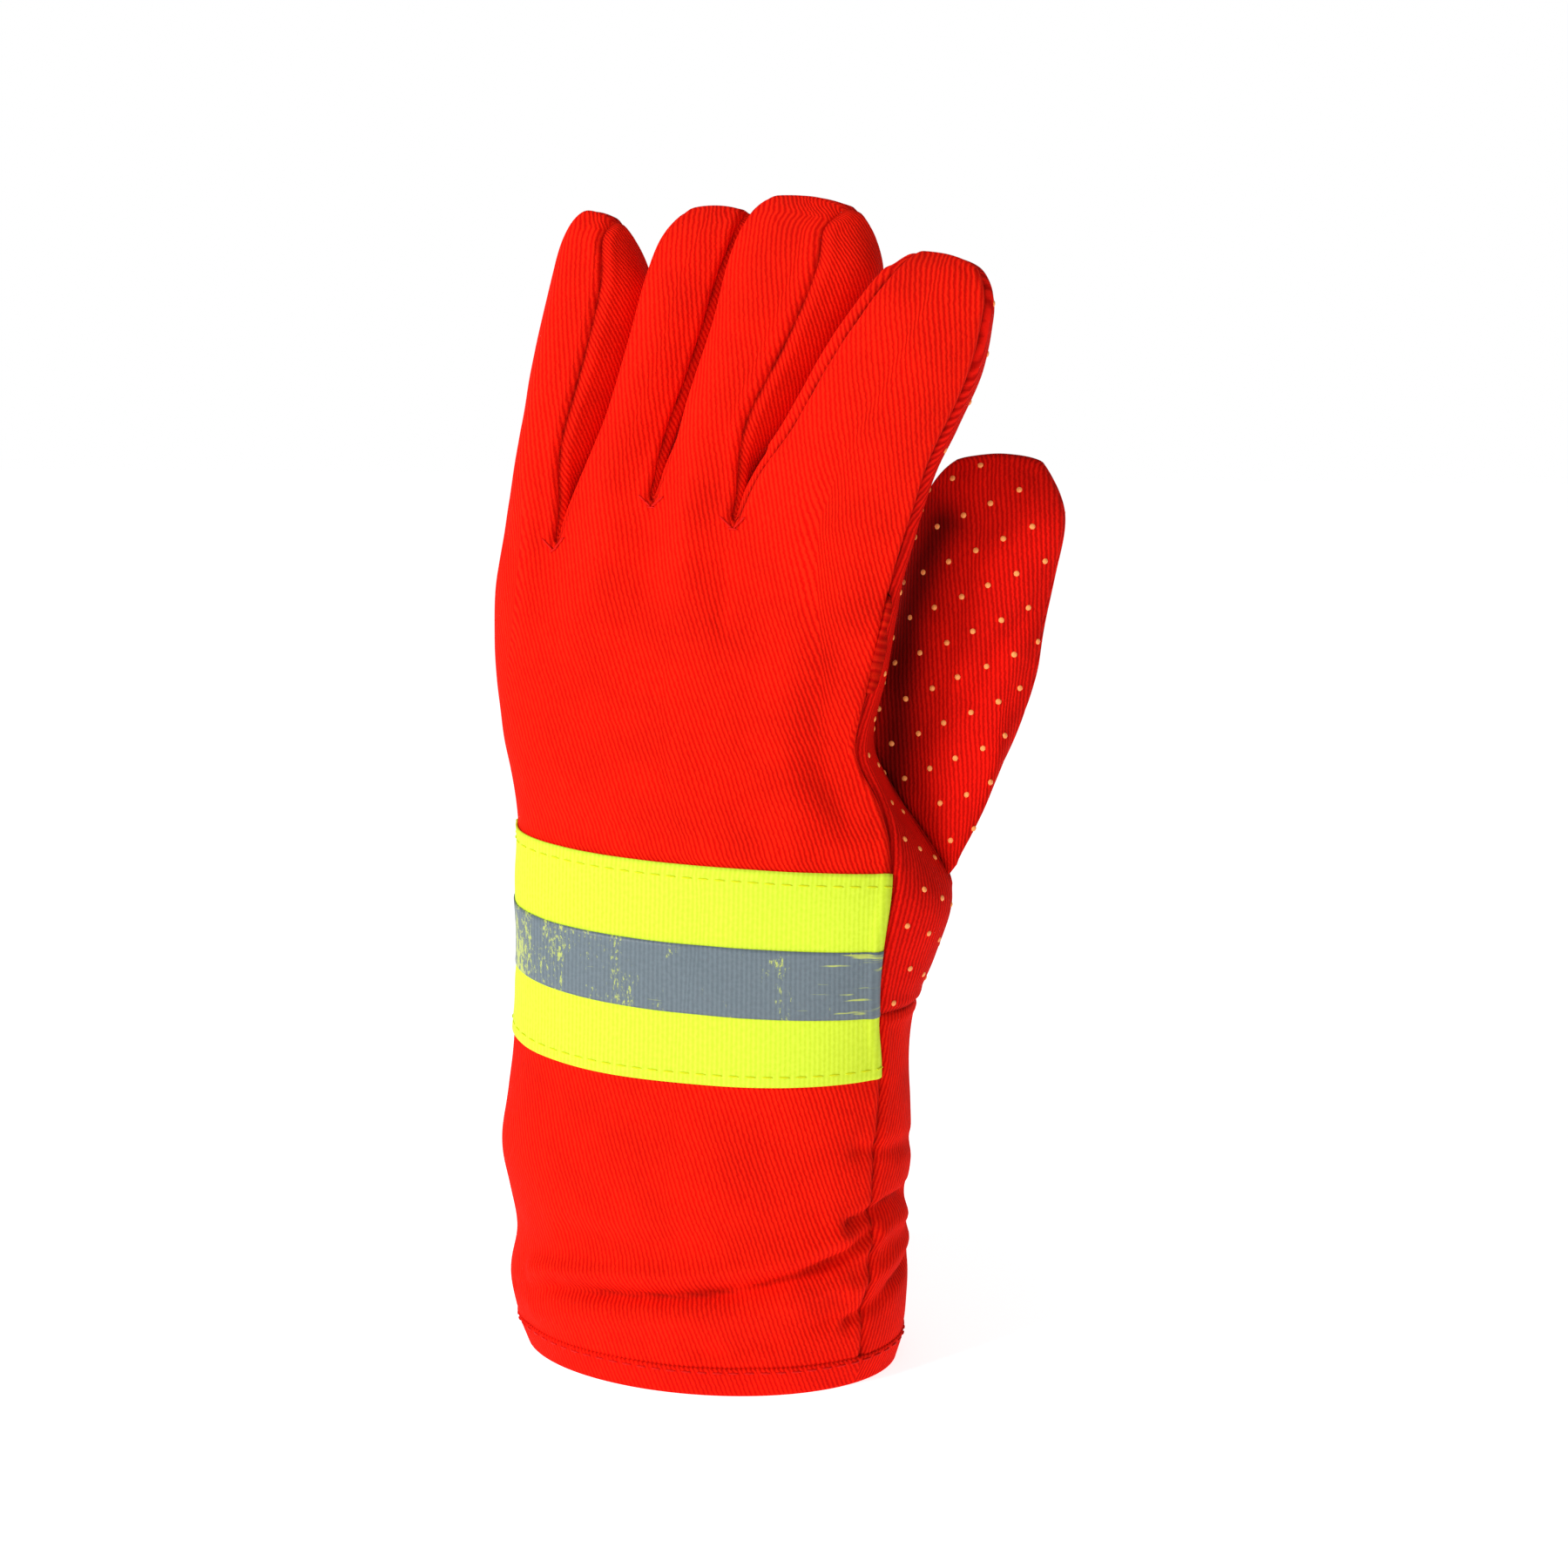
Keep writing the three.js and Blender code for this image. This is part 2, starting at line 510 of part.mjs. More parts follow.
// A closed sheet from a set of faces, from one offset to another along the outward directions.
function sheet(name, chosen, outer, inner, color, inset = SEAM_GAP / 2) {
  const edges = new Map();
  for (const { ring } of chosen)
    ring.forEach((a, i) => {
      const b = ring[(i + 1) % ring.length];
      if (edges.has(`${b} ${a}`)) edges.delete(`${b} ${a}`);
      else edges.set(`${a} ${b}`, [a, b]);
    });
  const used = [...new Set(chosen.flatMap((f) => f.ring))];
  const slot = new Map(used.map((v, i) => [v, i]));
  const shift = used.map(() => new THREE.Vector3());
  for (const [a, b] of edges.values()) {
    const owner = chosen.find((f) => f.ring.includes(a) && f.ring.includes(b));
    const way = points[b].clone().sub(points[a]).normalize();
    const inward = normalOf(owner.ring).cross(way);
    shift[slot.get(a)].add(inward);
    shift[slot.get(b)].add(inward);
  }
  const place = (v, offset) => {
    const move = shift[slot.get(v)].clone();
    const fold = move.length() / 2;
    if (fold > 0.01) move.setLength(inset / clamp(fold, 0.25, 1));
    const p = points[v].clone().addScaledVector(outward[v], offset).add(move);
    if (points[v].z < 1e-6) p.z = 0;
    return p;
  };
  const position = [];
  for (const offset of [outer, inner]) for (const v of used) position.push(...place(v, offset).toArray());
  const index = [];
  const size = used.length;
  const at = (slotIndex) => new THREE.Vector3().fromArray(position, slotIndex * 3);
  const add = (ring, base, flip) => {
    const c = ring.map((v) => slot.get(v) + base);
    if (c.length === 3) index.push(...(flip ? [c[0], c[2], c[1]] : c));
    else {
      const short = at(slot.get(ring[0])).distanceTo(at(slot.get(ring[2])));
      const cross = at(slot.get(ring[1])).distanceTo(at(slot.get(ring[3])));
      const parts = short <= cross ? [[0, 1, 2], [0, 2, 3]] : [[0, 1, 3], [1, 2, 3]];
      for (const [a, b, d] of parts) index.push(c[a], flip ? c[d] : c[b], flip ? c[b] : c[d]);
    }
  };
  for (const { ring } of chosen) {
    add(ring, 0, false);
    add(ring, size, true);
  }
  for (const [a, b] of edges.values()) {
    const i = slot.get(a);
    const j = slot.get(b);
    // neighbours split the shared rim along the same diagonal
    if (a < b) index.push(j, i, j + size, i, i + size, j + size);
    else index.push(j, i, i + size, j, i + size, j + size);
  }
  const geometry = new THREE.BufferGeometry();
  geometry.setAttribute("position", new THREE.Float32BufferAttribute(position, 3));
  geometry.setIndex(index);
  geometry.computeVertexNormals();
  const mesh = new THREE.Mesh(geometry, new THREE.MeshStandardMaterial({ color, roughness: 0.95 }));
  mesh.name = name;
  return mesh;
}

const glove = new THREE.Group();
const cloth = (name, color) =>
  glove.add(sheet(name, faces.filter((f) => f.panel === name), 0, -WALL, color));

cloth("back_panel", 0xff2412);
cloth("palm_panel", 0xe01408);
cloth("palm_cuff", 0xe81c0c);
cloth("thumb_front", 0xe61808);
cloth("thumb_rear", 0xd81406);
for (const name of SIDES) cloth(name, 0xf52010);
const hem = faces.filter((f) => f.panel === "cuff_hem");
glove.add(sheet("cuff_hem", hem, HEM_EXTRA, -WALL - HEM_EXTRA, 0xf41e0e));

// Reflective tape on the back between two mesh rows, in two layers.
function band(low, high) {
  const inside = (v) => {
    const key = [...keys.entries()].find(([, value]) => value === v)[0].split(" ");
    return Number(key[3]);
  };
  return faces.filter((f) => {
    if (f.panel !== "back_panel") return false;
    if (f.ring.some((v) => points[v].z > 150)) return false;
    const rows = f.ring.map(inside);
    return Math.min(...rows) >= low && Math.max(...rows) <= high;
  });
}
const yellow = TAPE_LIFT + TAPE_THICK;
const tape = band(ROW.tapeLow, ROW.tapeHigh);
glove.add(sheet("tape_yellow", tape, yellow, TAPE_LIFT, 0xe8ff1e, TAPE_INSET));
const silver = yellow + SILVER_LIFT;
const strip = band(ROW.silverLow, ROW.silverHigh);
glove.add(sheet("tape_silver", strip, silver + SILVER_THICK, silver, 0x73808c, TAPE_INSET + 0.2));

// The origin is the middle of the footprint's box, at the height of the hem.
const box = new THREE.Box3().setFromObject(glove);
const middle = box.getCenter(new THREE.Vector3());
for (const mesh of glove.children) mesh.geometry.translate(-middle.x, -middle.y, 0);
glove.userData.middle = [middle.x, middle.y];

export default glove;
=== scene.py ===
import math
import bpy
import numpy as np
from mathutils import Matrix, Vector, kdtree


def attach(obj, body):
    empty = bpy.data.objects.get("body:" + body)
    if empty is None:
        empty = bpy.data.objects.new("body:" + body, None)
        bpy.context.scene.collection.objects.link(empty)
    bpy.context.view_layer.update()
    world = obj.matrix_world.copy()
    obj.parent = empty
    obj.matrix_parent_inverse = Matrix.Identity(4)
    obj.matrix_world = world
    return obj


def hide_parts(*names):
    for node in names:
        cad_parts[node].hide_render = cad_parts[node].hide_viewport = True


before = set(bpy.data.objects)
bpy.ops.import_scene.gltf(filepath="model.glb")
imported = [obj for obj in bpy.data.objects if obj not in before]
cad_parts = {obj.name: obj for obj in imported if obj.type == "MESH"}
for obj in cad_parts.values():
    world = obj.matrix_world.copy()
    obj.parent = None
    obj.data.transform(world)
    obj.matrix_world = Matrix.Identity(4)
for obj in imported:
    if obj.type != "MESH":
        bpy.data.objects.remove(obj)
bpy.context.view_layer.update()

# Sewn shell: back, palm, cuff, side strips of the fingers and both halves of the thumb.
# Cut from red cotton twill and sewn edge to edge with the seams turned in, so every seam is
# a shallow groove between two soft rolls of cloth. Lengths here are millimetres.
MM = 0.001
MIDDLE = np.array([14.435, 0.529, 0.0])  # middle of the footprint, from the cuff's own axis
WALL = 1.5
FINE = 8  # mesh steps per column of the solids


def table(columns, rows):
    data = np.array(rows, float)
    return {name: data[:, i] for i, name in enumerate(columns.split())}


# Sections of the hand and cuff, from the hem up: their edges, their depth to the front and the
# rear, the angle of the seam on the index side and how square they are (2 is an ellipse).
BODY = table("z left right front rear seam square", [
    (0, -50.2, 49.0, 34.5, 36, 30, 2),
    (8, -53.0, 51.4, 36, 37, 30, 2),
    (18, -55.2, 52.2, 36, 36.5, 30, 2.05),
    (30, -53.0, 52.0, 33.5, 35, 28, 2.1),
    (42, -55.0, 51.2, 34, 34, 24, 2.1),
    (54, -57.2, 52.8, 33, 33, 27, 2.15),
    (68, -55.0, 52.6, 31, 31.5, 25, 2.2),
    (82, -53.0, 52.4, 29.5, 30, 24, 2.2),
    (95, -51.8, 53.8, 28.5, 30, 29, 2.25),
    (108, -51.2, 58.8, 27.5, 30.5, 37, 2.25),
    (124, -51.8, 63.0, 26, 30.5, 40, 2.25),
    (136, -51.4, 56.5, 24.5, 29, 29, 2.25),
    (148, -52.6, 48.8, 23, 27, 16, 2.25),
    (161, -55.0, 42.4, 21, 24, 18, 2.3),
    (180, -56.8, 46.4, 18.5, 20.5, 18, 2.3),
    (198, -56.4, 49.6, 16.5, 18, 17, 2.3),
    (210, -54.4, 52.4, 15, 16, 17, 2.3),
    (226, -51.6, 57.0, 14, 15, 17, 2.3),
])
# Heights of the solids' rows on the little finger's side and on the index side, and how far
# each row dips between them on the back.
ROWS = table("little index dip", [
    (0, 0, 0), (8, 8, 0), (20, 20, 0), (31, 31, 0.5), (43, 42, 1), (56, 54, 1.6),
    (70, 66.5, 2.2), (85.5, 80, 2.8), (104, 96, 2.2), (120, 113.5, 1.6), (138.5, 131.5, 1),
    (146, 139.5, 0.6), (154.5, 147.5, 0.3), (163, 156, 0), (172, 165, 0), (184, 179, 0),
    (197, 197, 0), (209, 217, 0),
])
TOP = 17  # the row where the fingers start
PALM_ROW = 8  # the row where the palm starts
HOLE = {"front": 3.25, "rear": 2.25, "low": 10, "high": 14}  # the thumb's hole, in columns and rows
THUMB_DROP = 5  # how far the palm's rows dip below the hole
VALLEY = 3.2  # depth of the hollows that run down from the finger gaps
KNUCKLE = table("s x z", [
    (0, -54.6, 208.5), (1, -37.6, 211.5), (2, -11.4, 223), (3, 9.8, 218), (4, 52.4, 217),
])
# Fingers from the foot (t 0) to the tip (t 1): the left and the right edge line, half the
# depth, the middle's place in depth and how far the finger turns. Seams are angles on the tube.
TUBE = "t xl zl xr zr depth y turn"
FINGERS = [
    {"seams": (-90, 8, 125, 270), "square": 2.3, "rows": table(TUBE, [
        (0, -54.6, 208.5, -38.0, 211.5, 12.5, 0, -1),
        (0.2, -51.2, 224, -31.8, 227, 12, 0.5, -3),
        (0.42, -46.8, 243, -24.4, 244, 11.5, 1, -4),
        (0.64, -42.4, 263, -18.6, 262, 10.5, 1.5, -4),
        (0.8, -39.0, 277, -16.4, 275, 9, 2, -3),
        (0.9, -36.4, 286.6, -18.8, 283.6, 6.8, 2, -2),
        (0.97, -32.6, 291.8, -22.4, 289, 3.6, 2, -1),
        (1, -29.8, 293.4, -25.0, 291.8, 0, 2, 0)])},
    {"seams": (-66, 46, 132, 238), "square": 2.4, "rows": table(TUBE, [
        (0, -37.2, 211.5, -11.8, 223, 13, -1, -1),
        (0.2, -30.8, 227, -8.8, 233, 12.5, -0.5, -3),
        (0.42, -23.6, 244, -3.0, 248, 12, 0, -4),
        (0.64, -17.8, 262, 2.8, 264, 11.5, 0.5, -4),
        (0.8, -14.2, 277, 6.8, 277, 10, 1, -3),
        (0.9, -10.6, 286.4, 10.4, 286, 7.4, 1, -2),
        (0.97, -5.6, 291.4, 11.2, 290.8, 4, 1, -1),
        (1, -1.6, 293.2, 9.4, 293, 0, 1, 0)])},
    {"seams": (-78, 12, 112, 210), "square": 2.4, "rows": table(TUBE, [
        (0, -11.0, 223, 9.2, 218, 13.5, -1, -1),
        (0.2, -6.0, 235, 15.4, 231, 13, -0.5, -3.5),
        (0.42, -1.6, 250, 25.8, 246, 13, 0, -5),
        (0.64, 4.0, 267, 35.8, 262, 12.5, 0.5, -5),
        (0.8, 7.4, 281.6, 42.6, 275.6, 11, 1, -4),
        (0.9, 10.6, 290.2, 42.4, 283, 8.4, 1, -2),
        (0.97, 15.2, 294.4, 39.0, 290.4, 4.6, 1, -1),
        (1, 20.0, 296.2, 34.2, 295, 0, 1, 0)])},
    {"seams": (-60, 64, 64, 215), "square": 2.4, "rows": table(TUBE, [
        (0, 10.6, 218, 53.6, 217, 14, -1.5, -1),
        (0.2, 15.8, 230.4, 57.8, 228.4, 13.5, -3, -2.5),
        (0.42, 24.8, 243.6, 63.8, 241, 13, -4, -4),
        (0.64, 34.6, 259.4, 68.8, 253, 12, -4.5, -4.5),
        (0.8, 42.2, 270.8, 71.4, 264, 10.5, -4, -3.5),
        (0.9, 47.4, 277, 72.0, 270.6, 7.8, -3.5, -2),
        (0.97, 52.4, 280.6, 69.6, 276, 4.2, -3, -1),
        (1, 56.8, 282, 65.2, 279.8, 0, -3, 0)])},
]
FINGER_FADE = 0.4
THUMB = {"square": 2.3, "rows": table(TUBE, [
    (0, 38.5, 161, 59.5, 126, 10, 17, 0),
    (0.16, 39.5, 172, 72.4, 149.4, 11, 20, 2),
    (0.34, 41.5, 184, 78.6, 170.6, 11, 22.5, 3),
    (0.54, 43.5, 197, 81.4, 190, 10.5, 24, 3),
    (0.72, 46.0, 210, 84.4, 206, 9.5, 24.5, 2),
    (0.86, 49.6, 221, 86.0, 218.6, 7.4, 24.5, 1),
    (0.95, 55.6, 229.4, 82.6, 227.2, 4.2, 24, 0),
    (1, 62.6, 233, 78.0, 234.2, 0, 24, 0)])}
THUMB_FADE = 0.42


def mix(a, b, t):
    return a + (b - a) * t


def smooth(t):
    c = np.clip(t, 0, 1)
    return c * c * (3 - 2 * c)


def power(v, e):
    return np.sign(v) * np.abs(v) ** e


def hermite(a, b, slope_a, slope_b, t):
    t2, t3 = t * t, t * t * t
    start = (2 * t3 - 3 * t2 + 1) * a + (t3 - 2 * t2 + t) * slope_a
    return start + (3 * t2 - 2 * t3) * b + (t3 - t2) * slope_b


def curve(rows, key, column, at):
    k, v = rows[key], rows[column]
    i = np.clip(np.searchsorted(k, at, side="right") - 1, 0, len(k) - 2)
    n = np.arange(len(k))
    low, high = np.maximum(n - 1, 0), np.minimum(n + 1, len(k) - 1)
    slope = (v[high] - v[low]) / (k[high] - k[low])
    span = k[i + 1] - k[i]
    t = np.clip((at - k[i]) / span, 0, 1)
    return hermite(v[i], v[i + 1], slope[i] * span, slope[i + 1] * span, t)


def row_heights(side, s):
    r = np.arange(TOP + 1)
    across = s[:, None] / 4
    z = mix(ROWS["little"][None], ROWS["index"][None], across)
    if side == "back":
        low = z - ROWS["dip"][None] * np.sin(np.pi * across)
    else:
        drop = THUMB_DROP * smooth((4 - s) / 0.7) * smooth((s - 1) / 1.2)
        near = smooth(1 - np.clip(np.abs(r - HOLE["low"]) / 3, 0, 1))
        low = z - drop[:, None] * near[None]
    knuckle = curve(KNUCKLE, "s", "z", s)
    low[:, TOP - 1] = mix(z[:, TOP - 1], knuckle - 14, 0.6)
    low[:, TOP] = knuckle
    return low


# A grid of points over the hand: s runs 0 to 4 from the little finger's seam to the index seam,
# v counts the rows of the solids up from the hem.
def hand(side, s, v):
    s, v = np.asarray(s, float), np.asarray(v, float)
    rows = row_heights(side, s)
    low = np.concatenate([rows[:, :1], rows[:, :-1]], 1)
    high = np.concatenate([rows[:, 1:], rows[:, -1:]], 1)
    slope = (high - low) / 2
    slope[:, 0] *= 2
    slope[:, -1] *= 2
    i = np.clip(np.floor(v).astype(int), 0, TOP - 1)
    t = (v - i)[None]
    z = hermite(rows[:, i], rows[:, i + 1], slope[:, i], slope[:, i + 1], t)
    left, right = curve(BODY, "z", "left", z), curve(BODY, "z", "right", z)
    middle, half = (left + right) / 2, (right - left) / 2
    seam, square = curve(BODY, "z", "seam", z), curve(BODY, "z", "square", z)
    q = s[:, None]
    if side == "back":
        even = -180 + (180 - seam) * q / 4
    else:
        even = 180 - (180 + seam) * q / 4
    across = np.clip((curve(KNUCKLE, "s", "x", s)[:, None] - middle) / half, -1, 1)
    bend = np.degrees(np.arccos(power(across, square / 2)))
    sign = -1 if side == "back" else 1
    knuckle = sign * bend
    knuckle = np.where(q <= 0.5, mix(sign * 180, knuckle, np.minimum(q / 0.5, 1)), knuckle)
    knuckle = np.where(q >= 3.5, mix(-seam, knuckle, np.clip((4 - q) / 0.5, 0, 1)), knuckle)
    angle = np.radians(mix(even, knuckle, smooth((z - 140) / 68)))
    c, d = np.cos(angle), np.sin(angle)
    deep = np.where(d < 0, curve(BODY, "z", "front", z), curve(BODY, "z", "rear", z))
    x = middle + half * power(c, 2 / square)
    y = deep * power(d, 2 / square)
    near = np.minimum(np.minimum(np.abs(q - 1), np.abs(q - 2)), np.abs(q - 3))
    y = y - np.sign(y) * VALLEY * (1 - smooth(near / 0.5)) * smooth((z - 178) / 40)
    return np.stack([x, y, z], -1)


# A flattened tube between two edge lines; angle 0 faces the front, 90 the right edge.
def tube(shape, angle, t):
    rows = shape["rows"]
    t = np.broadcast_to(t, angle.shape)
    xl, zl, xr, zr = (curve(rows, "t", c, t) for c in ("xl", "zl", "xr", "zr"))
    a = np.radians(angle)
    across = power(np.sin(a), 2 / shape["square"])
    deep = -power(np.cos(a), 2 / shape["square"])
    depth = curve(rows, "t", "depth", np.minimum(t, 0.97))
    depth = depth * np.sqrt(np.clip(1 - (np.maximum(t - 0.97, 0) / 0.03) ** 2, 0, 1))
    crown = np.maximum(0, (t - 0.8) / 0.2) ** 2 * np.hypot(xr - xl, zr - zl) * 0.06
    return np.stack([
        (xl + xr) / 2 + across * (xr - xl) / 2,
        curve(rows, "t", "y", t) + deep * depth - across * curve(rows, "t", "turn", t),
        (zl + zr) / 2 + across * (zr - zl) / 2 + crown * (1 - across * across),
    ], -1)


patches = []


# Cloth coordinates of a grid: flat seen from the front, and unrolled where it curves away.
def unrolled(points, middle, start=None):
    steps = np.diff(points, axis=0)
    full = np.linalg.norm(steps, axis=2)
    flat = np.hypot(steps[..., 0], steps[..., 2])
    extra = np.concatenate([np.zeros((1, points.shape[1])), np.cumsum(full - flat, axis=0)])
    extra = extra - extra[middle][None]
    reach = min(24, points.shape[1] // 3)
    wide = np.pad(extra, ((0, 0), (reach, reach)), mode="edge")
    total = np.cumsum(np.pad(wide, ((0, 0), (1, 0))), axis=1)
    extra = (total[:, 2 * reach + 1:] - total[:, :-2 * reach - 1]) / (2 * reach + 1)
    way = np.sign(points[-1, :, 0] - points[0, :, 0])[None]
    flat = np.stack([points[..., 0] + extra * way, points[..., 2]], -1)
    if start is not None:  # a finger's cloth carries on from the hand's
        fade = 1 - smooth(np.linspace(0, 1.6, points.shape[1]))
        shift = start - flat[:, 0, 0]
        flat[..., 0] += shift.mean() + (shift - shift.mean())[:, None] * fade[None]
    return flat


# The same for a part that wraps round: the way round the section, evened out over the rows.
def wrapped(points):
    around = np.concatenate([np.zeros((1, points.shape[1])), np.cumsum(
        np.linalg.norm(np.diff(points[..., :2], axis=0), axis=2), axis=0)])
    around = around[-1:] - around
    reach = min(40, points.shape[1] // 2 - 1)
    wide = np.pad(around, ((0, 0), (reach, reach)), mode="edge")
    total = np.cumsum(np.pad(wide, ((0, 0), (1, 0))), axis=1)
    around = (total[:, 2 * reach + 1:] - total[:, :-2 * reach - 1]) / (2 * reach + 1)
    return np.stack([around, points[..., 2]], -1)


# How far the ribs of the back lean at each height: more on the hand than on the fingers.
LEAN = table("z lean", [(0, 0.34), (80, 0.36), (130, 0.42), (185, 0.38), (225, 0.10), (300, 0.05)])
lean_z = np.linspace(-5, 305, 311)
lean_sum = np.cumsum(np.interp(lean_z, LEAN["z"], LEAN["lean"]))


# Keeps a grid of points as one patch of a panel, with its cloth coordinates, the faces left
# out for the thumb's hole and each point's share in a fingertip.
def patch(panel, points, flat=None, skip=None, tip=False):
    if flat is None:
        flat = unrolled(points, points.shape[0] // 2)
    if panel == "back_panel":
        flat[..., 0] += np.interp(flat[..., 1], lean_z, lean_sum)
    share = np.zeros(points.shape[:2])
    if tip:
        share[:] = smooth((t_line - 0.86) / 0.14)[None]
    patches.append((panel, points, flat, skip, share))
    return flat


# The hand and the cuff: the back in one piece, the other side cut into hem, cuff and palm.
s_line = np.linspace(0, 4, 16 * FINE + 1)
v_line = np.unique(np.concatenate([
    np.linspace(r, r + 1, max(6, int(round((ROWS["little"][r + 1] - ROWS["little"][r])))) + 1)
    for r in range(TOP)]))
back_grid = hand("back", s_line, v_line)
palm_grid = hand("palm", s_line[::-1], v_line)
hem_rows = v_line <= 1 + 1e-9
above_hem = v_line >= 1 - 1e-9
cuff_rows = above_hem & (v_line <= PALM_ROW + 1e-9)
palm_rows = v_line >= PALM_ROW - 1e-9
patch("cuff_hem", back_grid[:, hem_rows])
palm_around = wrapped(palm_grid[::-1])
palm_around[..., 0] = -palm_around[..., 0]
palm_around = palm_around[::-1]
patch("cuff_hem", palm_grid[:, hem_rows], palm_around[:, hem_rows])
back_flat = unrolled(back_grid[:, above_hem], len(s_line) // 2)
patch("back_panel", back_grid[:, above_hem], back_flat.copy())
back_flat = back_flat[:, -1, 0]
patch("palm_cuff", palm_grid[:, cuff_rows], palm_around[:, cuff_rows])
v_palm = v_line[palm_rows]
s_mid = (s_line[::-1][:-1] + s_line[::-1][1:]) / 2
v_mid = (v_palm[:-1] + v_palm[1:]) / 2
in_width = (s_mid > HOLE["rear"]) & (s_mid < HOLE["front"])
in_height = (v_mid > HOLE["low"]) & (v_mid < HOLE["high"])
in_hole = in_width[:, None] & in_height[None]
palm_flat = patch("palm_panel", palm_grid[:, palm_rows], palm_around[:, palm_rows], in_hole)
palm_flat = palm_flat[:, -1, 0]

# The fingers, each of a back, a front and a strip on every side that faces another finger. The
# mesh rows are a little closer towards the tips.
STRIPS = ["fourchette_little_ring", "fourchette_ring_middle", "fourchette_middle_index"]
t_line = np.linspace(0, 1, 11 * FINE + 1)
t_line = t_line + 0.10 * np.sin(np.pi * t_line) * t_line


# The line of cloth across the foot of a gap, from the back to the palm.
def crotch(gap, steps):
    front = hand("back", [gap], [TOP])[0, 0]
    rear = hand("palm", [gap], [TOP])[0, 0]
    u = np.linspace(0, 1, steps + 1)[:, None]
    lift = 1.5 * np.sin(np.pi * u) * np.array([0, 0, 1.0])
    return mix(front, rear, u) + lift


# One side of a finger between two seam angles: it starts on the line "base" of the hand and
# its edges draw together at the tip.
def grow(shape, start, end, base, fade, converge):
    n = len(base)
    u = np.linspace(0, 1, n)[:, None]
    t = t_line[None]
    close = smooth((t - 0.93) / 0.07)
    first = mix(start, converge[0], close)
    last = mix(end, converge[1], close)
    angle = mix(first, last, u)
    points = tube(shape, angle, t)
    lift = (base - points[:, 0])[:, None] * (1 - smooth(t / fade))[..., None]
    return points + lift


for k, shape in enumerate(FINGERS):
    bl, br, pr, pl = shape["seams"]
    cols = np.linspace(k, k + 1, 4 * FINE + 1)
    side_steps = 3 * FINE
    points = grow(shape, bl, br, hand("back", cols, [TOP])[:, 0], FINGER_FADE, (-90, 90))
    first = 4 * FINE * k
    own = back_flat[first:first + 4 * FINE + 1]
    patch("back_panel", points, unrolled(points, 2 * FINE, own), tip=True)
    points = grow(shape, pr, pl, hand("palm", cols[::-1], [TOP])[:, 0], FINGER_FADE, (90, 270))
    own = palm_flat[::-1][first:first + 4 * FINE + 1][::-1]
    patch("palm_panel", points, unrolled(points, 2 * FINE, own), tip=True)
    for gap, start, end, face in ((k + 1, br, pr, 90), (k, pl, bl + 360, 270)):
        if gap in (1, 2, 3):
            base = crotch(gap, side_steps)
            base = base if face == 90 else base[::-1]
            points = grow(shape, start, end, base, FINGER_FADE, (face, face))
            around = np.concatenate([np.zeros((1, points.shape[1])), np.cumsum(
                np.linalg.norm(np.diff(points, axis=0), axis=2), axis=0)])
            around = around - around[side_steps // 2][None]
            up = np.linalg.norm(np.diff(points[side_steps // 2], axis=0), axis=1)
            up = np.concatenate([[0], np.cumsum(up)])[None] + 0 * around
            patch(STRIPS[gap - 1], points, np.stack([around, up], -1), tip=True)

# The thumb grows from a ring round its hole in the palm.
def between(line, low, high):
    return line[(line > low - 1e-9) & (line < high + 1e-9)]


foot = (HOLE["rear"] + HOLE["front"]) / 2
v_hole = between(v_line, HOLE["low"], HOLE["high"])
s_hole = between(s_line, HOLE["rear"], HOLE["front"])
ring = [(s, HOLE["low"]) for s in between(s_line, HOLE["rear"], foot)[::-1][:-1]]
ring += [(HOLE["rear"], v) for v in v_hole[:-1]]
ring += [(s, HOLE["high"]) for s in s_hole[:-1]]
ring += [(HOLE["front"], v) for v in v_hole[::-1][:-1]]
ring += [(s, HOLE["low"]) for s in between(s_line, foot, HOLE["front"])[::-1]]
ring = np.array(ring)
ring_base = np.array([hand("palm", [s], [v])[0, 0] for s, v in ring])
step = np.abs(np.diff(ring[:, 0])) * 4 + np.abs(np.diff(ring[:, 1]))
ring_angle = 90 + 22.5 * np.concatenate([[0], np.cumsum(step)])
rear_end = int(np.argmin(np.abs(ring_angle - 270)))
thumb_points = tube(THUMB, ring_angle[:, None] + 0 * t_line[None], t_line[None])
lift = (ring_base - thumb_points[:, 0])[:, None] * (1 - smooth(t_line / THUMB_FADE))[None, :, None]
thumb_points = thumb_points + lift
patch("thumb_rear", thumb_points[:rear_end + 1], tip=True)
patch("thumb_front", thumb_points[rear_end:], tip=True)

# All patches welded into one surface, so that smoothing and folds run across the seams.
all_points = np.concatenate([p[1].reshape(-1, 3) for p in patches])
_, first_use, weld = np.unique(np.round(all_points / 1e-3).astype(np.int64), axis=0,
                               return_index=True, return_inverse=True)
weld = weld.reshape(-1)
shell = all_points[first_use].copy()
tip_share = np.concatenate([p[4].ravel() for p in patches])[first_use]
quads, quad_flat, quad_panel = [], [], []
start = 0
names = sorted({p[0] for p in patches})
for panel, points, flat, skip, _ in patches:
    nu, nv = points.shape[:2]
    index = np.arange(start, start + nu * nv).reshape(nu, nv)
    start += nu * nv
    corner = [index[:-1, :-1], index[1:, :-1], index[1:, 1:], index[:-1, 1:]]
    keep = np.ones((nu - 1, nv - 1), bool) if skip is None else ~skip
    ids = np.stack([c[keep] for c in corner], -1)
    place = flat.reshape(-1, 2)[ids - (start - nu * nv)]
    quads.append(weld[ids])
    quad_flat.append(place)
    quad_panel.append(np.full(len(ids), names.index(panel)))
quads, quad_flat, quad_panel = (np.concatenate(a) for a in (quads, quad_flat, quad_panel))

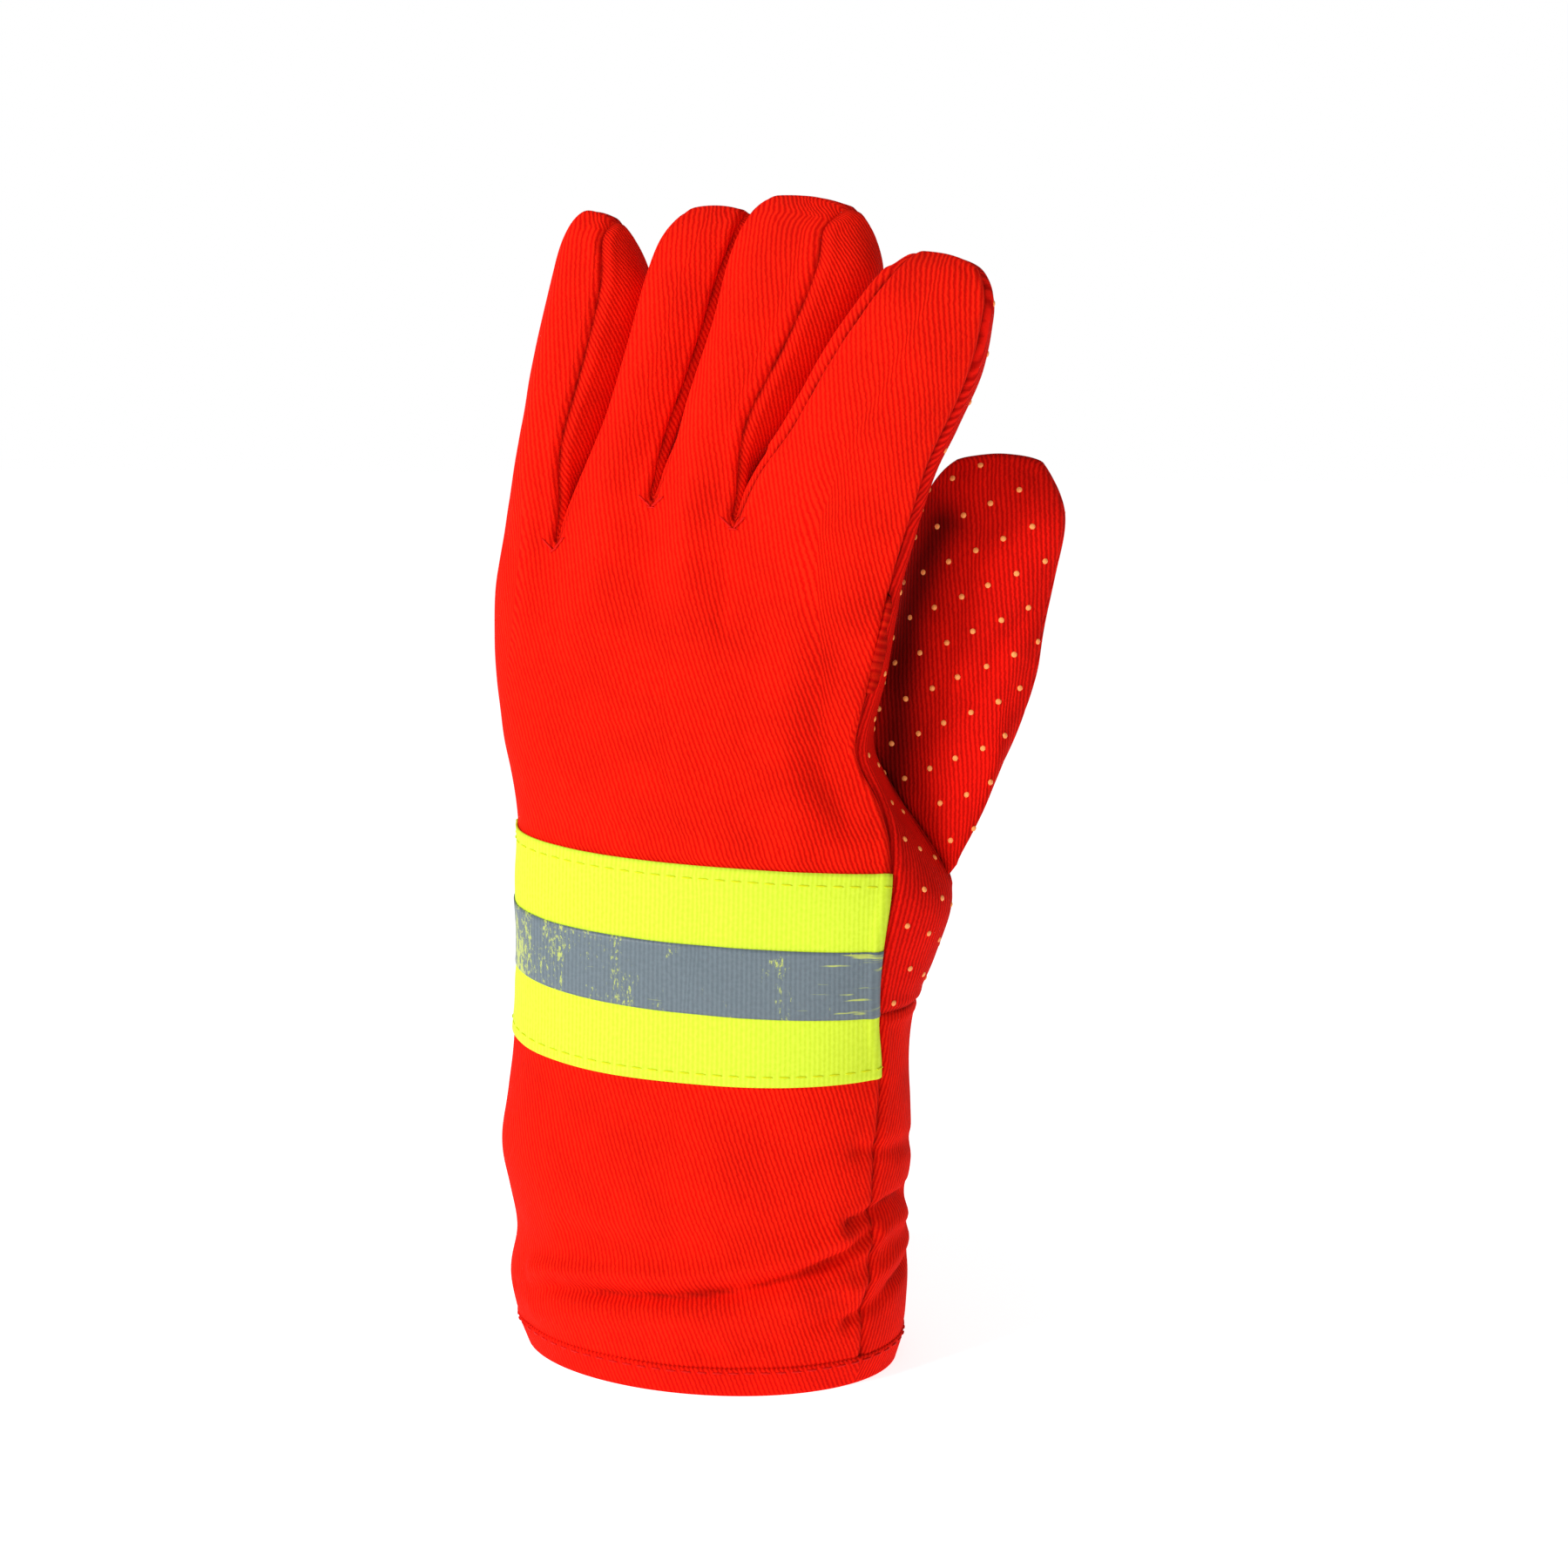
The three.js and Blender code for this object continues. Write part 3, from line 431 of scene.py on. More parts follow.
edge_list = np.concatenate([quads[:, [i, (i + 1) % 4]] for i in range(4)])
edge_face = np.tile(np.arange(len(quads)), 4)
real = edge_list[:, 0] != edge_list[:, 1]
edge_list, edge_face = edge_list[real], edge_face[real]
links = np.unique(np.sort(edge_list, 1), axis=0)
unused = np.bincount(links.ravel(), minlength=len(shell)) == 0
fixed = unused | (shell[:, 2] < 1e-6)


# Evens the surface out: each point moves towards the mean of its neighbours.
def relax(points, rounds, share=0.5):
    share = np.broadcast_to(share, len(points))[:, None]
    near, far = links[:, 0], links[:, 1]
    weight = np.linalg.norm(points[near] - points[far], axis=1) + 1e-6
    whole = np.bincount(near, weight, len(points)) + np.bincount(far, weight, len(points))
    whole[unused] = 1
    for _ in range(rounds):
        total = np.stack([np.bincount(near, weight * points[far, i], len(points))
                          + np.bincount(far, weight * points[near, i], len(points)) for i in range(3)], -1)
        moved = mix(points, total / whole[:, None], share)
        moved[fixed] = points[fixed]
        points = moved
    return points


def normals_of(points):
    a, b, c, d = (points[quads[:, i]] for i in range(4))
    face = np.cross(c - a, d - b)
    out = np.zeros_like(points)
    for i in range(4):
        np.add.at(out, quads[:, i], face)
    return out / np.maximum(np.linalg.norm(out, axis=1), 1e-9)[:, None]


# Worn cloth has no hard corners, and the tips of the fingers are the roundest.
SOFTEN, SOFTEN_TIPS, TIP_STRENGTH = 10, 20, 0.6
TIP_LOSS = 1.3  # the smoothing takes this much off the tips
shell = relax(shell, SOFTEN)
shell = relax(shell, SOFTEN_TIPS, TIP_STRENGTH * tip_share)
shell[:, 2] += TIP_LOSS * tip_share
shell_normal = normals_of(shell)

# Seams: the edges that two panels share.
order = np.lexsort(np.sort(edge_list, 1).T)
pair = np.sort(edge_list, 1)[order]
owner = quad_panel[edge_face[order]]
hem_id = names.index("cuff_hem")
same = np.all(pair[1:] == pair[:-1], axis=1) & (owner[1:] != owner[:-1])
same &= (owner[1:] != hem_id) & (owner[:-1] != hem_id)
seam_edges = pair[1:][same]
seam_points = np.unique(seam_edges)
tree = kdtree.KDTree(len(seam_points))
for i, v in enumerate(seam_points):
    tree.insert(Vector(shell[v]), i)
tree.balance()
seam_away = np.array([tree.find(Vector(p))[2] for p in shell])


def value_noise(points, scale, seed):
    q = points / scale
    base = np.floor(q).astype(np.int64)
    f = q - base
    f = f * f * (3 - 2 * f)
    total = np.zeros(len(points))
    for corner in range(8):
        o = np.array([corner & 1, corner >> 1 & 1, corner >> 2 & 1])
        h = (base + o) @ np.array([374761393, 668265263, 2147483647]) + seed * 1442695041
        h = (h ^ (h >> 13)) * 1274126177
        value = ((h ^ (h >> 16)) & 0xFFFF) / 32767.5 - 1
        weight = np.prod(np.where(o == 1, f, 1 - f), axis=1)
        total += weight * value
    return total


# Folds: a bulge or crease along a line on the back or the cuff; height is out along the normal.
def fold(points, line, width, height):
    line = np.array(line, float)
    nearest = np.full(len(points), 1e9)
    for a, b in zip(line[:-1], line[1:]):
        way = b - a
        t = np.clip((points - a) @ way / (way @ way), 0, 1)
        away = np.linalg.norm(points - a - t[:, None] * way, axis=1)
        nearest = np.minimum(nearest, away)
    return height * np.exp(-(nearest / width) ** 2)


# A turned-in seam: the groove, and the soft roll of cloth along each side of it, fuller on the
# hand than on the cuff. The seams fade out towards the fingertips.
GROOVE, GROOVE_WIDTH = 0.85, 0.85
ROLL_CUFF, ROLL_HAND, ROLL_AWAY, ROLL_WIDTH = 0.2, 0.5, 2.2, 1.2
x, y, z = shell.T
on_hand = smooth((z - 60) / 40)
at_tip = 1 - 0.75 * tip_share
push = mix(ROLL_CUFF, ROLL_HAND, on_hand) * np.exp(-((seam_away - ROLL_AWAY) / ROLL_WIDTH) ** 2)
push -= GROOVE * at_tip * np.exp(-(seam_away / GROOVE_WIDTH) ** 2)
push += 0.45 * value_noise(shell * np.array([1, 1, 0.6]), 17, 3) + 0.16 * value_noise(shell, 7, 5)
# painted shade in hollows: the deepest creases and the thumb's deep side are darkened in colour
painted_recess_shade = np.zeros(len(shell))
FOLDS = [
    # the cuff's slump crease, with the cloth rolled over above and below it
    ([(-48, -15, 17), (-41, -22, 18.8), (-33, -27.5, 22), (-20, -32.5, 23.4), (-1, -35, 25),
      (18, -33, 27.6), (31, -28.5, 31), (41, -22, 34.5), (47, -16, 39)], 1.6, -3.5),
    ([(-41, -22, 24.5), (-33, -27.5, 27), (-20, -32.5, 28.6), (-1, -35, 30.4),
      (18, -33, 33), (31, -28.5, 36.4), (41, -22, 40.5)], 2.8, 2.2),
    ([(-40, -22, 14), (-20, -32.5, 18), (-1, -35, 19.6), (18, -33, 22), (31, -28.5, 25.4),
      (41, -22, 28.5)], 3.0, 1.4),
    ([(8, -35, 11), (24, -31, 14.5), (38, -24, 19)], 1.6, -1.4),
    ([(-30, -30, 38), (-6, -34, 38), (18, -32, 42), (34, -25, 47)], 3.6, -0.9),
    # the wrinkles where the side of the cuff sags
    ([(42, -20, 43), (50, -9, 46), (53, 6, 45)], 1.8, -2.6),
    ([(43, -20, 36), (51, -8, 40), (53, 8, 39)], 2.6, 1.8),
    ([(42, -21, 18), (51, -7, 24), (53, 8, 27)], 1.8, -2.4),
    ([(43, -20, 26), (52, -7, 31), (53, 8, 33)], 2.4, 1.4),
    ([(44, -18, 62), (52, -6, 60), (54, 8, 58)], 2.2, -1.4),
    # hollows at the thumb's crotch
    ([(37, -14, 182), (34.5, -17, 169), (36, -16, 157), (41, -15, 147)], 6.0, -2.2),
    ([(28, -20, 184), (24, -22, 166), (28, -20, 148)], 6.5, 1.2),
    ([(40, -19, 146), (35, -22, 139)], 4.5, -0.9),
    ([(54, 0, 150), (52, 2, 164)], 6.0, -2.6),
    # soft puckers below the gaps of the fingers
    ([(-37, -14, 210), (-35, -16, 190)], 1.8, -0.9),
    ([(-12, -14, 221), (-13, -17, 196)], 1.8, -1.0),
    ([(9.5, -14, 216), (8, -17, 192)], 1.8, -1.0),
    # the diagonal crease of the thumb
    ([(84, 14, 198), (72, 12, 186), (66, 12, 172)], 3.2, -1.8),
    ([(80, 12, 178), (70, 11, 164), (62, 10, 150)], 3.8, -1.2),
]
# the rolled edge of cloth along the left of the index finger
roll = [tube(FINGERS[3], np.array(-74.0), t).tolist() for t in np.linspace(0.3, 0.9, 13)]
FOLDS.append((roll, 1.7, 1.1))
for line, width, height in FOLDS:
    push += fold(shell, line, width, height)
    # the deepest creases also get painted shade along their floor
    if height < -2.3:
        painted_recess_shade += fold(shell, line, width * 0.45, 0.5)
# painted shade in the seams' grooves: how much the cloth's colour is darkened along each seam, uneven
# along it
groove_shade_amount = 0.36 + 0.22 * value_noise(shell, 2.2, 11)
# painted shade on the deep side of the thumb, close behind the index finger, where little light gets in
thumb_inlet_shade = fold(shell, [(45, 11, 152), (46, 13, 172), (47, 16, 192), (51, 17, 206), (56, 18, 216)], 7.0, 0.8)
painted_recess_shade += np.where(y > 6, thumb_inlet_shade, 0)
# all the painted shade together, as the share by which the cloth's colour is darkened
dark = np.clip(groove_shade_amount * at_tip * np.exp(-(seam_away / 0.7) ** 2) + painted_recess_shade, 0, 0.8)
HEM_TOP = 8.5  # the hem is stiffer, so folds and seams fade out down it
push = push * np.clip(z / HEM_TOP, 0, 1)
shell = shell + shell_normal * push[:, None]
shell = relax(shell, 1)
shell_normal = normals_of(shell)
level = shell[:, 2] < 1e-6  # the edge that the glove stands on, kept flat
shell_normal[level, 2] = 0
shell_normal[level] /= np.linalg.norm(shell_normal[level], axis=1)[:, None]


# One closed sheet of cloth from the faces of the named panels, between two heights over the
# shared surface. An upright sheet takes no part in the lean of the back's ribs.
def sheet_mesh(name, panels, outer, inner, where=None, upright=False):
    points, normal = shell, shell_normal
    chosen = np.isin(quad_panel, [names.index(p) for p in panels])
    if where is not None:
        chosen &= where
    faces, flat = quads[chosen], quad_flat[chosen].copy()
    if upright:
        flat[..., 0] -= np.interp(flat[..., 1], lean_z, lean_sum)
    used, local = np.unique(faces, return_inverse=True)
    local = local.reshape(faces.shape)
    count = len(used)
    top = points[used] + normal[used] * outer
    low = points[used] + normal[used] * inner
    ends = np.concatenate([local[:, [i, (i + 1) % 4]] for i in range(4)])
    ends = ends[ends[:, 0] != ends[:, 1]]
    code = ends[:, 0].astype(np.int64) * count + ends[:, 1]
    back = ends[:, 1].astype(np.int64) * count + ends[:, 0]
    rim = ends[~np.isin(code, back)]
    mesh = bpy.data.meshes.new(name)
    polygons, uv = [], []
    for face, place in zip(local.tolist(), flat.tolist()):
        ring, spot = [], []
        for i, v in enumerate(face):
            if v not in ring:
                ring.append(v)
                spot.append(place[i])
        if len(ring) < 3:
            continue
        polygons.append(ring)
        uv.extend(spot)
        polygons.append([v + count for v in ring[::-1]])
        uv.extend(spot[::-1])
    edge_spot = {}
    for face, place in zip(local.tolist(), flat.tolist()):
        for v, p in zip(face, place):
            edge_spot[v] = p
    for a, b in rim.tolist():
        polygons.append([b, a, a + count, b + count])
        uv.extend([edge_spot[b], edge_spot[a], edge_spot[a], edge_spot[b]])
    places = (np.concatenate([top, low]) - MIDDLE) * MM
    mesh.from_pydata(places.tolist(), [], polygons)
    # the painted shade of the seams, the deep creases and the thumb's deep side, read by the cloth's
    # material
    shade = mesh.attributes.new("painted_shade", "FLOAT", "POINT")
    shade.data.foreach_set("value", np.tile(dark[used], 2))
    layer = mesh.uv_layers.new(name="cloth")
    layer.data.foreach_set("uv", np.array(uv, float).ravel() * MM)
    mesh.polygons.foreach_set("use_smooth", [True] * len(mesh.polygons))
    mesh.update()
    piece = bpy.data.objects.new(name, mesh)
    bpy.context.collection.objects.link(piece)
    return piece


def linear(code):
    parts = [int(code[i:i + 2], 16) / 255 for i in (1, 3, 5)]
    bright = [c / 12.92 if c <= 0.04045 else ((c + 0.055) / 1.055) ** 2.4 for c in parts]
    return (*bright, 1.0)


# Adds a node: settings that start with in_ fill its sockets, the others its own options.
def add(tree, kind, links=(), **settings):
    node = tree.nodes.new(kind)
    for name, value in settings.items():
        if name.startswith("in_"):
            key = name[3:].replace("_", " ")
            node.inputs[int(key) if key.isdigit() else key].default_value = value
        else:
            setattr(node, name, value)
    for socket, source in dict(links).items():
        tree.links.new(source, node.inputs[socket])
    return node


# Cotton twill: matte, with fine slanting ribs in relief, a painted highlight on each rib and painted
# shade in the lines between, a little uneven as woven cloth is. Pitch is the way from rib to rib in
# millimetres, drawn as coarse as it needs to show. Lean is how far a rib moves sideways as it climbs.
def twill(name, rib, line, lean, pitch=1.2, swell=0.6):
    material = bpy.data.materials.new(name)
    material.use_nodes = True
    tree = material.node_tree
    tree.nodes.clear()
    place = add(tree, "ShaderNodeUVMap", uv_map="cloth").outputs["UV"]
    cut = add(tree, "ShaderNodeSeparateXYZ", {"Vector": place})
    climb = add(tree, "ShaderNodeMath", {0: cut.outputs["Y"]}, operation="MULTIPLY", in_1=lean)
    across = add(tree, "ShaderNodeMath", {0: cut.outputs["X"], 1: climb.outputs[0]},
                 operation="ADD")
    drift = add(tree, "ShaderNodeTexNoise", {"Vector": place}, in_Scale=45.0, in_Detail=1.0)
    wander = add(tree, "ShaderNodeMath", {0: drift.outputs["Fac"], 2: across.outputs[0]},
                 operation="MULTIPLY_ADD", in_1=0.0016)
    fuzz = add(tree, "ShaderNodeTexNoise", {"Vector": place}, in_Scale=900.0, in_Detail=1.0)
    wander = add(tree, "ShaderNodeMath", {0: fuzz.outputs["Fac"], 2: wander.outputs[0]},
                 operation="MULTIPLY_ADD", in_1=0.0006)
    phase = add(tree, "ShaderNodeMath", {0: wander.outputs[0]},
                operation="MULTIPLY", in_1=2 * math.pi / (pitch * MM))
    wave = add(tree, "ShaderNodeMath", {0: phase.outputs[0]}, operation="SINE")
    half = add(tree, "ShaderNodeMath", {0: wave.outputs[0]},
               operation="MULTIPLY_ADD", in_1=0.5, in_2=0.5)
    stretch = add(tree, "ShaderNodeMapping", {"Vector": place}, in_Scale=(1.0, 0.45, 1.0))
    fleck = add(tree, "ShaderNodeTexNoise", {"Vector": stretch.outputs["Vector"]},
                in_Scale=1300.0, in_Detail=2.0)
    rise = add(tree, "ShaderNodeMath", {0: fleck.outputs["Fac"], 1: half.outputs[0]},
               operation="MULTIPLY")
    rise = add(tree, "ShaderNodeMath", {0: half.outputs[0], 1: rise.outputs[0]}, operation="ADD")
    tone = add(tree, "ShaderNodeMapRange", {"Value": rise.outputs[0]}, in_1=0.05, in_2=1.25)
    # painted highlight on the ribs (the rib colour) and painted shade in the lines between them (the line
    # colour)
    colour = add(tree, "ShaderNodeMix", {"Factor": tone.outputs["Result"]}, data_type="RGBA",
                 in_6=linear(line), in_7=linear(rib))
    cloud = add(tree, "ShaderNodeTexNoise", {"Vector": place}, in_Scale=60.0, in_Detail=3.0)
    shade = add(tree, "ShaderNodeMapRange", {"Value": cloud.outputs["Fac"]},
                in_1=0.3, in_2=0.7, in_3=0.84, in_4=1.08)
    tint = add(tree, "ShaderNodeVectorMath",
               {0: colour.outputs[2], "Scale": shade.outputs["Result"]}, operation="SCALE")
    # painted shade: the colour is darkened by the painted shade of the seams, deep creases and the thumb's
    # deep side
    painted_shade_attribute = add(tree, "ShaderNodeAttribute", attribute_name="painted_shade")
    keep = add(tree, "ShaderNodeMath", {1: painted_shade_attribute.outputs["Fac"]}, operation="SUBTRACT", in_0=1.0)
    tint = add(tree, "ShaderNodeVectorMath", {0: tint.outputs[0], "Scale": keep.outputs[0]},
               operation="SCALE")
    bump = add(tree, "ShaderNodeBump", {"Height": rise.outputs[0]},
               in_Strength=swell, in_Distance=0.00022)
    surface = add(tree, "ShaderNodeBsdfPrincipled",
                  {"Base Color": tint.outputs[0], "Normal": bump.outputs["Normal"]},
                  in_Roughness=0.92, in_Specular_IOR_Level=0.06, in_Sheen_Weight=0.05,
                  in_Sheen_Roughness=0.5, in_Sheen_Tint=linear("#FF5030"))
    add(tree, "ShaderNodeOutputMaterial", {"Surface": surface.outputs["BSDF"]})
    return material


# for each cloth the first colour is the ribs' with a painted highlight, the second the lines' with painted
# shade
back_twill = twill("red cotton twill, back", "#FF210A", "#D80802", lean=0.0, swell=0.48)
side_twill = twill("red cotton twill, side strips", "#FF220A", "#D40702", lean=0.8, swell=0.5)
cuff_twill = twill("red cotton twill, cuff", "#FD1D08", "#D20702", lean=0.3, swell=0.5)
palm_twill = twill("red cotton twill, palm", "#F2160A", "#BC0802", lean=0.1)

panels = {"back_panel": back_twill, "palm_panel": palm_twill, "palm_cuff": cuff_twill,
          "thumb_front": palm_twill, "thumb_rear": palm_twill}
panels.update({strip: side_twill for strip in STRIPS})
for panel, cloth in panels.items():
    piece = sheet_mesh(panel + "_cloth", [panel], outer=0.0, inner=-WALL)
    piece.data.materials.append(cloth)
    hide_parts(panel)
    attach(piece, "root")

# Hem of the cuff: the cloth turned in and stitched down all round, a soft double edge about
# 8 mm deep that the glove stands on.
HEM_OUT, HEM_IN = 0.35, 0.9
hem = sheet_mesh("cuff_hem_cloth", ["cuff_hem"], outer=HEM_OUT, inner=-WALL - HEM_IN)
hem.data.materials.append(cuff_twill)
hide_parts("cuff_hem")
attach(hem, "root")

# Reflective band on the back: a fluorescent yellow woven tape about 50 mm wide with a grey
# retroreflective strip on its middle third. It is laid on the cloth from one side seam to the
# other and sewn down along both long edges. Its edges follow the rows of the solids.
BAND = {"low": 7, "strip_low": 8, "strip_high": 9, "high": 10}
BAND_LIFT, BAND_TOP, STRIP_FOOT, STRIP_TOP = 0.15, 0.75, 0.8, 1.1
row_of = np.full(len(quads), -1.0)
start = 0
for panel, points, flat, skip, _ in patches:
    nu, nv = points.shape[:2]
    keep = np.ones((nu - 1, nv - 1), bool) if skip is None else ~skip
    total = int(keep.sum())
    rows = v_line[above_hem]
    if panel == "back_panel" and (nu, nv) == (len(s_line), len(rows)):
        middle_row = (rows[:-1] + rows[1:]) / 2
        row_of[start:start + total] = np.broadcast_to(middle_row[None], keep.shape)[keep]
    start += total


# Woven tape: plain-coloured and matt, with fine upright cords 1.2 mm apart that the strip's
# film follows. Worn film is glossier and shows the yellow tape through flecks near its left
# end and hairline cracks near its right end.
def tape_material(name, face, dark, worn):
    material = bpy.data.materials.new(name)
    material.use_nodes = True
    tree = material.node_tree
    tree.nodes.clear()
    place = add(tree, "ShaderNodeUVMap", uv_map="cloth").outputs["UV"]
    cut = add(tree, "ShaderNodeSeparateXYZ", {"Vector": place}).outputs["X"]
    phase = add(tree, "ShaderNodeMath", {0: cut}, operation="MULTIPLY", in_1=2 * math.pi / 0.0012)
    wave = add(tree, "ShaderNodeMath", {0: phase.outputs[0]}, operation="SINE")
    grain = add(tree, "ShaderNodeTexNoise", {"Vector": place}, in_Scale=900.0, in_Detail=2.0)
    rise = add(tree, "ShaderNodeMath", {0: wave.outputs[0], 2: grain.outputs["Fac"]},
               operation="MULTIPLY_ADD", in_1=0.25)
    tone = add(tree, "ShaderNodeMapRange", {"Value": rise.outputs[0]}, in_1=0.2, in_2=0.8)
    colour = add(tree, "ShaderNodeMix", {"Factor": tone.outputs["Result"]}, data_type="RGBA",
                 in_6=linear(dark), in_7=linear(face)).outputs[2]
    if worn:
        tall = add(tree, "ShaderNodeMapping", {"Vector": place}, in_Scale=(1.7, 0.55, 1.0))
        patchy = add(tree, "ShaderNodeTexNoise", {"Vector": tall.outputs["Vector"]},
                     in_Scale=75.0, in_Detail=2.0)
        left = add(tree, "ShaderNodeMapRange", {"Value": cut},
                   in_1=0.002, in_2=-0.012, in_3=0.0, in_4=0.165)
        fleck = add(tree, "ShaderNodeMath", {0: patchy.outputs["Fac"], 1: left.outputs["Result"]},
                    operation="ADD")
        long = add(tree, "ShaderNodeMapping", {"Vector": place},
                   in_Rotation=(0, 0, 0.5), in_Scale=(1.3, 0.6, 1.0))
        scratch = add(tree, "ShaderNodeTexNoise", {"Vector": long.outputs["Vector"]},
                      in_Scale=700.0, in_Detail=6.0, in_Roughness=0.8)
        fleck = add(tree, "ShaderNodeMath", {0: fleck.outputs[0], 1: scratch.outputs["Fac"]},
                    operation="MULTIPLY")
        flat = add(tree, "ShaderNodeMapping", {"Vector": place}, in_Scale=(0.22, 2.4, 1.0))
        hair = add(tree, "ShaderNodeTexNoise", {"Vector": flat.outputs["Vector"]},
                   in_Scale=330.0, in_Detail=5.0)
        right = add(tree, "ShaderNodeMapRange", {"Value": cut},
                    in_1=0.028, in_2=0.046, in_3=-0.06, in_4=0.085)
        hair = add(tree, "ShaderNodeMath", {0: hair.outputs["Fac"], 1: right.outputs["Result"]},
                   operation="ADD")
        hair = add(tree, "ShaderNodeMath", {0: hair.outputs[0]}, operation="MULTIPLY", in_1=0.56)
        fleck = add(tree, "ShaderNodeMath", {0: fleck.outputs[0], 1: hair.outputs[0]},
                    operation="MAXIMUM")
        mask = add(tree, "ShaderNodeMapRange", {"Value": fleck.outputs[0]}, in_1=0.365, in_2=0.40)
        colour = add(tree, "ShaderNodeMix", {"Factor": mask.outputs["Result"], 6: colour},
                     data_type="RGBA", in_7=linear("#B4C060")).outputs[2]
    bump = add(tree, "ShaderNodeBump", {"Height": rise.outputs[0]},
               in_Strength=0.35, in_Distance=0.00015)
    surface = add(tree, "ShaderNodeBsdfPrincipled",
                  {"Base Color": colour, "Normal": bump.outputs["Normal"]},
                  in_Roughness=0.45 if worn else 0.75,
                  in_Specular_IOR_Level=0.4 if worn else 0.2)
    add(tree, "ShaderNodeOutputMaterial", {"Surface": surface.outputs["BSDF"]})
    return material


woven = tape_material("fluorescent woven tape", "#DAF23E", "#CBE42C", worn=False)
film = tape_material("grey retroreflective strip", "#69777F", "#5B6870", worn=True)
on_band = (row_of > BAND["low"]) & (row_of < BAND["high"])
on_strip = (row_of > BAND["strip_low"]) & (row_of < BAND["strip_high"])
for name, node, cloth, top, foot, where in (
        ("tape_yellow_band", "tape_yellow", woven, BAND_TOP, BAND_LIFT, on_band),
        ("tape_silver_strip", "tape_silver", film, STRIP_TOP, STRIP_FOOT, on_strip)):
    piece = sheet_mesh(name, ["back_panel"], top, foot, where=where, upright=True)
    piece.data.materials.append(cloth)
    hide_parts(node)
    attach(piece, "root")

# Grip dots of the palm and the thumb: small domes of pale orange plastic printed on the
# cloth in slanting rows, about 8 mm apart along a row and 9 mm from row to row.
DOT_ROW = np.array([-7.1, -3.0])
DOT_NEXT = np.array([3.7, -8.6])
DOT_START = np.array([4.0, 1.0])
DOT = {"Length": 1.55, "Width": 1.55, "Height": 0.8, "Sink": 0.06}
SEAM_CLEAR = 2.2  # no dot is printed closer to a seam
PALM_FOOT = 88.0  # nor lower than this, where the palm runs under the band's end


# Small pieces set out on the cloth by a node tree: one rounded solid on every point, its Z
# along the point's "out" and its X along the point's "way".
def scatter_tree(name, segments):
    tree = bpy.data.node_groups.new(name, "GeometryNodeTree")
    face = tree.interface
    face.new_socket("Points", in_out="INPUT", socket_type="NodeSocketGeometry")
    for label in ("Length", "Width", "Height", "Sink"):
        socket = face.new_socket(label, in_out="INPUT", socket_type="NodeSocketFloat")
        socket.min_value = 0.0
        socket.max_value = 0.02
    face.new_socket("Material", in_out="INPUT", socket_type="NodeSocketMaterial")
    face.new_socket("Pieces", in_out="OUTPUT", socket_type="NodeSocketGeometry")
    source = add(tree, "NodeGroupInput").outputs
    solid = add(tree, "GeometryNodeMeshUVSphere",
                in_Segments=segments, in_Rings=6, in_Radius=0.5)
    size = add(tree, "ShaderNodeCombineXYZ",
               {"X": source["Length"], "Y": source["Width"], "Z": source["Height"]})
    low = add(tree, "ShaderNodeMath", {0: source["Sink"]}, operation="MULTIPLY", in_1=-1.0)
    sink = add(tree, "ShaderNodeCombineXYZ", {"Z": low.outputs[0]})
    placed = add(tree, "GeometryNodeTransform",
                 {"Geometry": solid.outputs["Mesh"], "Scale": size.outputs[0],
                  "Translation": sink.outputs[0]})
    out = add(tree, "GeometryNodeInputNamedAttribute", data_type="FLOAT_VECTOR", in_Name="out")
    way = add(tree, "GeometryNodeInputNamedAttribute", data_type="FLOAT_VECTOR", in_Name="way")
    stand = add(tree, "FunctionNodeAlignRotationToVector",
                {"Vector": out.outputs["Attribute"]}, axis="Z")
    turn = add(tree, "FunctionNodeAlignRotationToVector",
               {"Vector": way.outputs["Attribute"], "Rotation": stand.outputs[0]},
               axis="X", pivot_axis="Z")
    spots = add(tree, "GeometryNodeMeshToPoints", {"Mesh": source["Points"]})
    copies = add(tree, "GeometryNodeInstanceOnPoints",
                 {"Points": spots.outputs[0], "Instance": placed.outputs[0],
                  "Rotation": turn.outputs[0]})
    whole = add(tree, "GeometryNodeRealizeInstances", {0: copies.outputs[0]})
    soft = add(tree, "GeometryNodeSetShadeSmooth", {0: whole.outputs[0]})
    painted = add(tree, "GeometryNodeSetMaterial",
                  {0: soft.outputs[0], "Material": source["Material"]})
    add(tree, "NodeGroupOutput", {0: painted.outputs[0]})
    return tree


def scatter(name, tree, spots, out, way, material, **sizes):
    mesh = bpy.data.meshes.new(name)
    mesh.from_pydata(((spots - MIDDLE) * MM).tolist(), [], [])
    for label, data in (("out", out), ("way", way)):
        layer = mesh.attributes.new(label, "FLOAT_VECTOR", "POINT")
        layer.data.foreach_set("vector", data.ravel())
    piece = bpy.data.objects.new(name, mesh)
    bpy.context.collection.objects.link(piece)
    modifier = piece.modifiers.new("pieces", "NODES")
    modifier.node_group = tree
    sockets = [item for item in tree.interface.items_tree if item.in_out == "INPUT"]
    ids = {item.name: item.identifier for item in sockets}
    for label, value in sizes.items():
        modifier[ids[label]] = value * MM
    modifier[ids["Material"]] = material
    graph = bpy.context.evaluated_depsgraph_get()
    made = bpy.data.meshes.new_from_object(piece.evaluated_get(graph))
    piece.modifiers.clear()
    piece.data = made
    return piece


